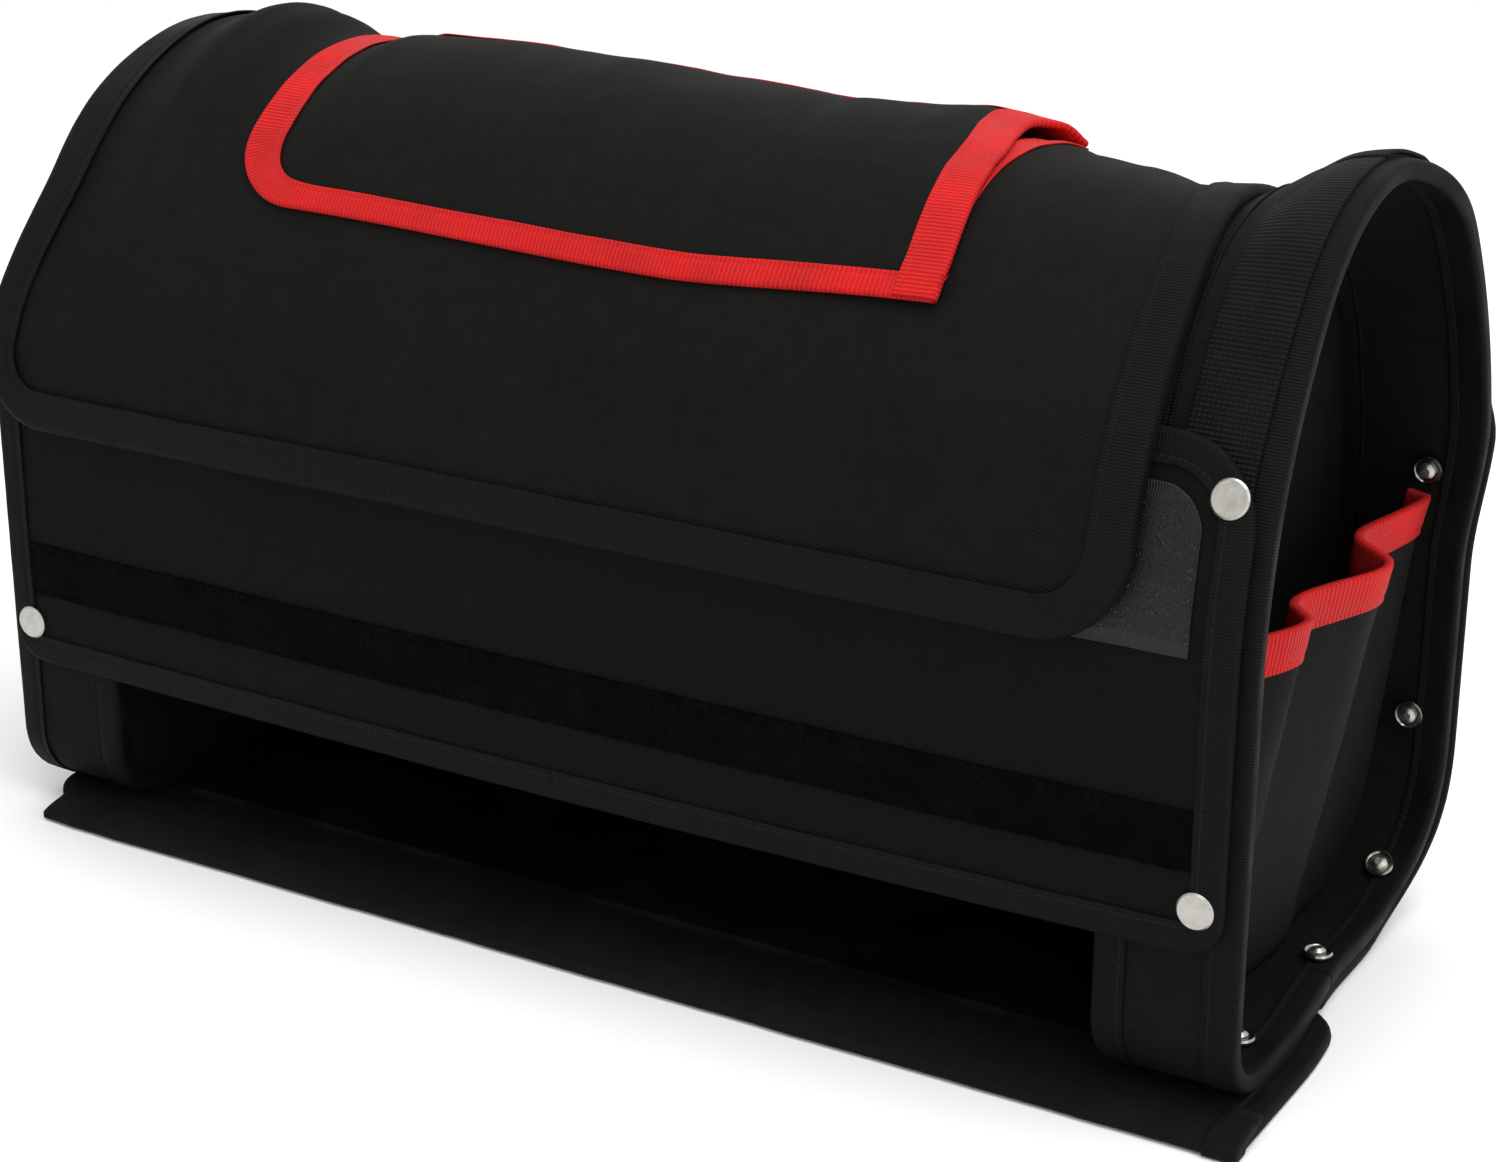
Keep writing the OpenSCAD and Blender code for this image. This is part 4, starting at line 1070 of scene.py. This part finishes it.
def softLid(x, s):
    look, off = lidLook, s - lidCrown
    overRight, rightReach = look["rightOver"]
    sag = eased(look["sag"], x) * bell(off, look["sagReach"])
    sag += eased(look["rightSag"], x) * bell(off - overRight, rightReach) + shoulderSink(x, off)
    span = sin(pi * clamp((x + 215) / 430))
    along = clamp((s - lidArea[2]) / (lidArea[3] - lidArea[2]))
    (broad, broadSize, fine, fineSize), (wave, waveSize) = look["creases"], look["edgeWave"]
    creases = broad * wobble(x, s, broadSize, 2) + fine * wobble(x * 0.6 + s * 0.8, s, fineSize, 5)
    edgeWave = wave * wobble(x, 0, waveSize, 6) * exp(-along * 14)
    overEdge, edgeReach = look["edgeOver"]
    pull = look["leftPull"] * ramp(-x, *look["leftAlong"]) * ramp(-off, *look["leftOver"])
    pull -= look["edgePull"] * ramp(x, *look["edgeAlong"]) * bell(off - overEdge, edgeReach)
    return pull, 0, (creases + edgeWave) * span - sag * min(1, (1 - along) / 0.03)


def buildLid():
    look, corner = lidLook, lidLook["corner"]
    bm = flatCloth(lidArea, (corner, 0, 0, corner))
    layCloth(bm, lidPath, look["wall"], softLid)
    lid = makePiece("lid_cloth", bm, "twill", "lid", ["lid"], wall=look["wall"])
    leftRun = lidArea[3] - lidArea[2] - corner

    def widen(along):
        # wider up the left side, most of all below the crown
        taper = look["leftTaper"] + (1 - look["leftTaper"]) * ramp(along, leftRun, 60)
        return taper + look["leftSwell"] * bell(along - leftRun + look["swellAt"], look["swellReach"])

    tape = tapeRound(openOutline(lidArea, corner), lidPath, 0, look["wall"], cover=look["tapeCover"],
                     soften=softLid, seed=41, widen=widen, pressed=0.6)
    makePiece("lid_tape", tape, "black_tape", "lid", ["lid_binding"], wall=bag["tapeWall"])
    left, right, height, width = look["pile"]
    low = frontAt(lidPath, height)
    strip = flatCloth((left, right, low, low + width), cell=2.0)
    layCloth(strip, lidPath, 0, softLid)
    pile = makePiece("lid_inside_strip", strip, "pile_strip", "lid", ["lid_strip"], wall=look["pileWall"],
                     bevel=0.3)
    return lid


lidCloth = buildLid()


# the lid's pocket, whose back edge stands behind the crown
sheetLook = {"wall": 1.0, "tapeWall": 0.5, "bulge": 2.4, "lift": 4.3, "liftAt": 0.93, "corner": 29.0,
             "cover": 10.5, "sideCover": 13.5, "leftNarrow": 0.95, "leftWiden": 1.5, "frontWiden": 0.76,
             "climb": 5.5, "leftClimb": 3.5, "backReach": 11.0, "shifts": (7.0, 7.0, 8.5),
             "ripples": ((0.6, 34, 9), (0.25, 13, 10)), "underEdges": (124.1, 136.1), "underWall": 0.6,
             "underTuck": -8.5, "underLoose": 3.0, "redSheet": 0.45}
pocketArea = (-151.0, 123.0, frontAt(lidPath, 247.0, 5.3), lidCrown + 24.4)
sheetLow = lidLook["wall"] + 0.1 + sheetLook["tapeWall"]


def acrossPocket(s):
    return clamp((s - pocketArea[2]) / (pocketArea[3] - pocketArea[2]))


def softLidPocket(x, s):
    left, right, _, _ = pocketArea
    look, u, v = sheetLook, clamp((x - left) / (right - left), 0, 1.02), acrossPocket(s)
    # the open edge reaches further right at the front and in its back corner, and between them it gapes
    front, gap, back = look["shifts"]
    shift = front * (1 - ramp(v, 0, 0.75)) - gap * bell(v - 0.84, 0.3) + back * ramp(v, 0.84, 0.16)
    shift *= ramp(u, 0.72, 0.28)
    # the front edge climbs towards the open side, and the back one lies lower behind the crown
    climb = look["climb"] * ramp(u, 0.66, 0.34) + look["leftClimb"] * (1 - ramp(u, 0.1, 0.6))
    climb *= (1 - v) ** 1.5
    climb += look["backReach"] * ramp(v, 0.55, 0.45) * ramp(u, 0.1, 0.25) * (1 - ramp(u, 0.85, 0.15) / 2)
    base = softLid(x + shift, s + climb)
    offLift = v - look["liftAt"]
    gape = look["lift"] * dent(1 - u, 0.15) * bell(offLift, 0.2 if offLift < 0 else 0.075)
    middle = max(sin(pi * min(u, 1)), 0)
    pouch = look["bulge"] * (middle * sin(pi * v)) ** 0.7 if 0 < v < 1 else 0
    overTape = 0.8 * ramp(u, 0.85, 0.1)
    # two shallow creases run from the gaping edge towards the front
    creases = -1.3 * dent(u - 0.80 + 0.10 * v, 0.022) * bell(v - 0.72, 0.3)
    creases -= dent(u - 0.68 + 0.22 * (v - 0.5), 0.03) * bell(v - 0.55, 0.35)
    ripple = sum(high * wobble(x, s, size, seed) for high, size, seed in look["ripples"]) * sin(pi * v)
    return base[0] + shift, climb, base[2] + pouch + gape + overTape + creases + ripple


def buildLidPocket():
    look, corner = sheetLook, sheetLook["corner"]
    left, right, front, back = pocketArea
    wide, deep = right - left, back - front
    bm = flatCloth(pocketArea, (0, 0, 0, corner), 3.0)
    layCloth(bm, lidPath, sheetLow + look["wall"], softLidPocket)
    sheet = makePiece("lid_pocket_cloth", bm, "twill", "lid", ["lid_pocket"], wall=look["wall"])
    leftRun, turn = deep - corner, corner * pi / 2

    def widenFront(along):
        # widens down the left side, and is folded narrower along the front
        start = look["leftNarrow"]
        down = start + (look["leftWiden"] - start) * smooth(along / leftRun)
        return down + (look["frontWiden"] - down) * ramp(along, leftRun, turn + 12)

    def endLift(along):
        return 0.6 * (1 - ramp(along, 9, 6))

    # one tape round the left and front, one over its end up the open edge, one along the back
    runs = (
        ("front", layPath((left, back), -pi / 2, 1, [(leftRun, None), (turn, corner), (wide - corner, None)]),
         look["cover"], widenFront, noLift),
        ("side", layPath((right, front - 0.8), pi / 2, 1, [(deep + 1.6, None)]),
         look["sideCover"], sameWidth, endLift),
        ("back", layPath((right, back), pi, 1, [(wide, None)]), look["cover"], sameWidth, noLift))
    for word, line, cover, widen, lift in runs:
        tape = tapeRound(line, lidPath, sheetLow, look["wall"], cover=cover, soften=softLidPocket, cell=2.0,
                         seed=51 + len(word), ripple=0.25, groove=0.25, lift=lift, widen=widen,
                         tapeWall=look["tapeWall"])
        makePiece("lid_pocket_tape_" + word, tape, "red_tape", "lid", ["lid_pocket_tape"],
                                  wall=look["redSheet"])


def softUnder(x, s):
    # tucked under the pocket's open edge, most of all at its lower end
    look, v = sheetLook, acrossPocket(s)
    tuck = look["underTuck"] + look["underLoose"] * ramp(v, 0.4, 0.6)
    climb = look["climb"] * (1 - v) ** 1.5 + look["backReach"] / 2 * ramp(v, 0.55, 0.45)
    base = softLid(x + tuck, s + climb)
    return base[0] + tuck, climb, base[2] + 0.25 * wobble(x, s, 12, 19)


def buildUnderTape():
    _, _, front, back = pocketArea
    wall = sheetLook["underWall"]
    under = flatCloth((*sheetLook["underEdges"], front + 2, back), cell=2.0)
    layCloth(under, lidPath, lidLook["wall"] + wall, softUnder)
    strip = makePiece("lid_under_red_tape", under, "red_tape", "lid", ["lid_under_tape"], wall=wall,
                      bevel=0.2)


# the square tack over the tape's end, and the threads that have come loose there: each thread's place
# from the pocket's corner, its slant and its length
tackLook = {"rows": 4, "columns": 5, "start": (-11.5, 1.6), "step": (2.2, 2.1), "zigzag": 0.25,
            "length": 2.5, "radius": 0.26, "bend": 0.08, "stand": 0.62, "looseRadius": 0.14,
            "looseStand": 0.4, "loose": ((1.2, 6.5, 0.9, 5.5), (0.6, 8.2, 0.4, 4.0), (0.9, 1.0, -0.7, 3.5))}


def addThread(bm, length, radius, bend, place):
    # one small stitch or loose thread, bent sideways, then put on the cloth
    made = bmesh.ops.create_uvsphere(bm, u_segments=6, v_segments=6, radius=1)
    for vert in made["verts"]:
        along, side, high = vert.co.z, vert.co.x, vert.co.y
        vert.co = place(along * length / 2, side * radius + bend * (along * along - 1), high * radius)


def buildTack():
    tack, look = bmesh.new(), tackLook
    _, right, front, _ = pocketArea
    top = sheetLow + sheetLook["wall"] + sheetLook["tapeWall"] + look["stand"]

    def placer(x, s, slant, stand):
        return lambda a, b, c: clothPoint(lidPath, x + a * cos(slant) - b * sin(slant),
                                          s + a * sin(slant) + b * cos(slant), stand + c, softLidPocket)

    for row in range(look["rows"]):
        for column in range(look["columns"]):
            x = right + look["start"][0] + column * look["step"][0]
            s = front + look["start"][1] + row * look["step"][1]
            zigzag = look["zigzag"] if column % 2 else -look["zigzag"]
            addThread(tack, look["length"], look["radius"], look["bend"], placer(x, s + zigzag, 0, top))
    for number, (x, s, slant, length) in enumerate(look["loose"]):
        addThread(tack, length, look["looseRadius"], 0.8 - 0.5 * number,
                  placer(right + x, front + s, slant, top + look["looseStand"]))
    keepMap(tack, lambda co: (co.x / mm, co.z / mm))
    bmesh.ops.recalc_face_normals(tack, faces=tack.faces[:])
    makePiece("lid_pocket_tack", tack, "red_tape", "lid")


seamLook = {"y": 93.737, "z": 207.9, "edges": (-252, 210), "width": 10.4, "wall": 1.6, "bulge": 0.9}


def buildLidSeam():
    y, z, width = seamLook["y"], seamLook["z"], seamLook["width"]
    path = layPath((y, z + width / 2), -pi / 2, 1, [(width, None)])
    bm = flatCloth((*seamLook["edges"], 0, width), cell=1.3)

    def soften(x, s):
        share = (s - width / 2) / (width / 2)
        return 0, 0, seamLook["bulge"] * (1 - share ** 2) + 0.1 * wobble(x, s, 8, 23)

    layCloth(bm, path, 0, soften)
    seam = makePiece("lid_sewn_seam", bm, "black_tape", None, ["lid_roll_seam"], wall=seamLook["wall"])
    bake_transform(seam)


buildLidPocket()
buildUnderTape()
buildTack()
buildLidSeam()
print("lid ready")


# pieces that keep their solids and only take a finish
for node, finish in (("front_rivets", finishes["nickel"]), ("back_rivets", finishes["nickel"]),
                     ("floor_rivets", finishes["nickel"]), ("rivet_rings", ringFinish),
                     ("base_board", finishes["board"])):
    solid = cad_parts[node]
    solid.data.materials.clear()
    solid.data.materials.append(finish)
print("carried solids finished")


stageLook = {"floor": (0.90, 0.90, 0.90), "floorRadius": 9.0, "world": (1.0, 1.0, 1.0), "worldPower": 1.0}


def buildStage():
    bm = bmesh.new()
    bmesh.ops.create_circle(bm, cap_ends=True, cap_tris=False, segments=96, radius=stageLook["floorRadius"])
    mesh = bpy.data.meshes.new("studio_floor")
    bm.to_mesh(mesh)
    bm.free()
    floor = bpy.data.objects.new("studio_floor", mesh)
    bpy.context.scene.collection.objects.link(floor)
    material = bpy.data.materials.new("paleFloor")
    material.use_nodes = True
    shader = material.node_tree.nodes["Principled BSDF"]
    shader.inputs["Base Color"].default_value = (*stageLook["floor"], 1)
    shader.inputs["Roughness"].default_value = 0.9
    shader.inputs["Specular IOR Level"].default_value = 0.1
    mesh.materials.append(material)
    world = bpy.data.worlds.new("paleStudio")
    world.use_nodes = True
    world.node_tree.nodes["Background"].inputs["Color"].default_value = (*stageLook["world"], 1)
    world.node_tree.nodes["Background"].inputs["Strength"].default_value = stageLook["worldPower"]
    bpy.context.scene.world = world
    bpy.context.scene.view_settings.view_transform = "Standard"


lampLook = {
    "overhead": {"at": (0.45, -0.2, 1.7), "size": 1.5, "power": 20.0},
    "frontLeft": {"at": (-1.6, -1.9, 1.5), "size": 1.4, "power": 1.5},
    "rightFill": {"at": (2.2, -0.7, 1.2), "size": 1.5, "power": 6.0}}


def buildLamps():
    for name, look in lampLook.items():
        light = bpy.data.lights.new(name, "AREA")
        light.shape, light.size, light.energy = "DISK", look["size"], look["power"]
        lamp = bpy.data.objects.new(name, light)
        lamp.location = look["at"]
        lamp.rotation_mode = "QUATERNION"
        lamp.rotation_quaternion = (Vector((0, 0, 0.15)) - Vector(look["at"])).to_track_quat("-Z", "Y")
        bpy.context.scene.collection.objects.link(lamp)


viewLook = {"azimuth": 30.57, "elevation": 20.32, "roll": 0.21, "target": (24.4, 0.0, 113.8),
            "distance": 1119.2, "lens": 74.63, "shift": (-0.0101, -0.0014)}


def buildCamera():
    a, e, roll = radians(viewLook["azimuth"]), radians(viewLook["elevation"]), radians(viewLook["roll"])
    forward = Vector((-sin(a) * cos(e), cos(a) * cos(e), -sin(e)))
    level = Vector((cos(a), sin(a), 0))
    upright = level.cross(forward)
    right = cos(roll) * level + sin(roll) * upright
    up = -sin(roll) * level + cos(roll) * upright
    data = bpy.data.cameras.new("photoView")
    data.lens, data.sensor_width, data.sensor_fit = viewLook["lens"], 36.0, "HORIZONTAL"
    data.shift_x, data.shift_y = viewLook["shift"]
    data.clip_start, data.clip_end = 0.05, 50
    camera = bpy.data.objects.new("photoView", data)
    turned = Matrix((right, up, -forward)).transposed().to_4x4()
    place = Vector(viewLook["target"]) * mm - forward * viewLook["distance"] * mm
    camera.matrix_world = Matrix.Translation(place) @ turned
    bpy.context.scene.collection.objects.link(camera)
    bpy.context.scene.camera = camera


buildStage()
buildLamps()
buildCamera()
print("stage ready")
